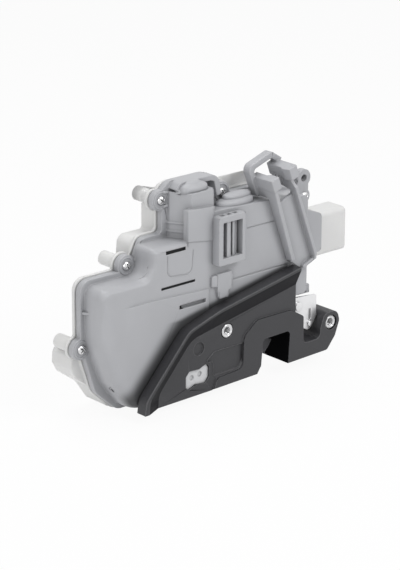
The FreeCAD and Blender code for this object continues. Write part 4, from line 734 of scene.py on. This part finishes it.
def growPiece(name, tree, spots, values, look, joined=False):  # the tree's result as a plain mesh
    guideMesh = bpy.data.meshes.new(name + "Guide")
    edges = [(i, i + 1) for i in range(len(spots) - 1)] if joined else []
    guideMesh.from_pydata([Vector(spot) / 1000 for spot in spots], edges, [])
    guide = addPiece(name + "Guide", guideMesh)
    modifier = guide.modifiers.new(name, "NODES")
    modifier.node_group = tree
    values = dict(values, Material=finishes[look])
    for item in tree.interface.items_tree:
        if item.item_type == "SOCKET" and item.in_out == "INPUT" and item.name in values:
            modifier[item.identifier] = values[item.name]
    evaluated = guide.evaluated_get(bpy.context.evaluated_depsgraph_get())
    mesh = bpy.data.meshes.new_from_object(evaluated)
    mesh.name = name
    guide.modifiers.clear()
    bpy.data.objects.remove(guide)
    return carry(addPiece(name, mesh), "unit")


screws = dict(
    front=19.5, places=[(-33.0, 79.8), (-58.3, 46.9), (-91.0, 5.1), (12.3, 76.0), (77.6, 60.3)],
    sizes={"Head Radius": 0.0029, "Head Height": 0.0018, "Recess Width": 0.00075, "Recess Length": 0.0036,
           "Recess Depth": 0.0011, "Seed": 5},
    collarCount=4, collarSizes={"Ring Radius": 0.0048, "Wire Radius": 0.0006, "Rings": 1},
)
screwPiece = growPiece("crossHeadScrews", screwTree, [(x, screws["front"], z) for x, z in screws["places"]],
                       screws["sizes"], "brightSteel")
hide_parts("housing_screws")
growPiece("bossCollars", ringTree, [(x, screws["front"] + 0.1, z) for x, z in screws["places"][:screws["collarCount"]]],
          screws["collarSizes"], "greyPlastic")

inserts = dict(
    places=[(0, 0), (82.2, -14.0)], threadFront=0.5, rimFront=0.15,
    threadSizes={"Ring Radius": 0.00258, "Wire Radius": 0.00042, "Rings": 11, "Pitch": 0.00095},
    rimSizes={"Ring Radius": 0.0034, "Wire Radius": 0.0004, "Rings": 1},
)
for name, front, sizes in (("insertThreads", inserts["threadFront"], inserts["threadSizes"]),
                           ("insertRims", inserts["rimFront"], inserts["rimSizes"])):
    growPiece(name, ringTree, [(x, front, z) for x, z in inserts["places"]], sizes, "brightSteel")
print("screws and insert threads made")

flarePath = roundedPath([(-65, -34.3), (-63.7, -26, 10), (-32.5, 8.2, 14), (-9, 15.5, 60), (53.6, 27.3)], 10)
beads = {  # bead and corner radius in metres, then the line it follows in millimetres, on the face at front
    "flareBead": dict(bead=0.00042, corner=0.0, front=-4.35, look="blackPlastic", slot="black_plastic",
                      path=[(spot.x, spot.y) for spot in flarePath]),
    "panelBead": dict(bead=0.00026, corner=0.0016, front=0.0, look="blackPlastic", slot="black_plastic",
                      path=[(-10.9, -24.4), (-10.9, -16), (-15.3, -16), (-15.3, -14.0), (-9.5, -10.2), (12.0, -10.2)]),
    "faceBead": dict(bead=0.00028, corner=0.004, front=4.0, look="greyPlastic", slot="grey_plastic",
                     path=[(-41.5, 52.5), (-41.5, 40.5), (-23.5, 39.0), (-22.5, 52.5)]),
}
for name, line in beads.items():
    growPiece(name, beadTree, [(x, line["front"], z) for x, z in line["path"]],
              {"Bead Radius": line["bead"], "Corner Radius": line["corner"]}, line["look"], joined=True)
print("beads made")


studio = dict(floorHeight=-0.0392, floorReach=4.0, floorGlow=0.93, ambient=0.4, aim=(0.01, 0.02, 0.03), lamps={
    "keyLight": dict(place=(0.25, -0.75, 0.75), wide=0.5, power=4.5),
    "fillLight": dict(place=(-0.9, -0.3, 0.35), wide=0.7, power=2.6),
    "topLight": dict(place=(0.0, 0.25, 0.9), wide=0.6, power=3.0),
})


def backgroundRays(tree, rays):  # seen straight, in metal and through glass
    pair = mathOf(tree, "MAXIMUM", rays.outputs["Is Camera Ray"], rays.outputs["Is Glossy Ray"])
    return mathOf(tree, "MAXIMUM", pair, rays.outputs["Is Transmission Ray"])


def stageMaterial():
    material = bpy.data.materials.new("paleFloor")
    material.use_nodes = True
    tree = material.node_tree
    tree.nodes.clear()
    out = addNode(tree, "ShaderNodeOutputMaterial")
    matte = addNode(tree, "ShaderNodeBsdfDiffuse", {"Color": (0.9, 0.9, 0.9, 1)})
    glow = addNode(tree, "ShaderNodeEmission", {"Color": (1, 1, 1, 1), "Strength": 1.0})
    seen = backgroundRays(tree, addNode(tree, "ShaderNodeLightPath"))
    mix = addNode(tree, "ShaderNodeMixShader")
    tree.links.new(mathOf(tree, "MULTIPLY", seen, studio["floorGlow"]), mix.inputs["Fac"])
    tree.links.new(matte.outputs[0], mix.inputs[1])
    tree.links.new(glow.outputs[0], mix.inputs[2])
    tree.links.new(mix.outputs[0], out.inputs["Surface"])
    return material


floorMesh = bpy.data.meshes.new("floor")
reach, height = studio["floorReach"], studio["floorHeight"]
floorMesh.from_pydata([(x * reach, y * reach, height) for x, y in ((-1, -1), (1, -1), (1, 1), (-1, 1))],
                      [], [(0, 1, 2, 3)])
floorMesh.materials.append(stageMaterial())
addPiece("floor", floorMesh)

world = bpy.context.scene.world or bpy.data.worlds.new("studio")
bpy.context.scene.world = world
world.use_nodes = True
sky = world.node_tree
sky.nodes.clear()
skyOut = addNode(sky, "ShaderNodeOutputWorld")
ambient = addNode(sky, "ShaderNodeBackground", {"Color": (1, 1, 1, 1), "Strength": studio["ambient"]})
backdrop = addNode(sky, "ShaderNodeBackground", {"Color": (1, 1, 1, 1), "Strength": 1.0})
path = addNode(sky, "ShaderNodeLightPath")
blend = addNode(sky, "ShaderNodeMixShader")
sky.links.new(backgroundRays(sky, path), blend.inputs["Fac"])
sky.links.new(ambient.outputs[0], blend.inputs[1])
sky.links.new(backdrop.outputs[0], blend.inputs[2])
sky.links.new(blend.outputs[0], skyOut.inputs["Surface"])

for name, lamp in studio["lamps"].items():
    light = bpy.data.lights.new(name, "AREA")
    light.size = lamp["wide"]
    light.energy = lamp["power"]
    holder = addPiece(name, light)
    holder.location = lamp["place"]
    holder.rotation_euler = (Vector(studio["aim"]) - Vector(lamp["place"])).to_track_quat("-Z", "Y").to_euler()

view = dict(place=(-0.8987, -0.9960, 0.4921), azimuth=41.39, fall=19.1, roll=0.23,
            focalPixels=2500, tallPixels=570, sensor=36)
azimuth, fall, roll = (math.radians(view[key]) for key in ("azimuth", "fall", "roll"))
forward = Vector((math.sin(azimuth) * math.cos(fall), math.cos(azimuth) * math.cos(fall), -math.sin(fall)))
level = Vector((math.cos(azimuth), -math.sin(azimuth), 0))
upright = level.cross(forward)
across = level * math.cos(roll) + upright * math.sin(roll)
upward = -level * math.sin(roll) + upright * math.cos(roll)
lens = bpy.data.cameras.new("photoCamera")
lens.sensor_fit = "VERTICAL"
lens.sensor_height = view["sensor"]
lens.lens = view["focalPixels"] / view["tallPixels"] * view["sensor"]
lens.clip_end = 20
camera = addPiece("photoCamera", lens)
camera.matrix_world = Matrix((
    (across.x, upward.x, -forward.x, view["place"][0]),
    (across.y, upward.y, -forward.y, view["place"][1]),
    (across.z, upward.z, -forward.z, view["place"][2]),
    (0, 0, 0, 1),
))
bpy.context.scene.camera = camera
bpy.context.scene.view_settings.view_transform = "Standard"
print("studio set")
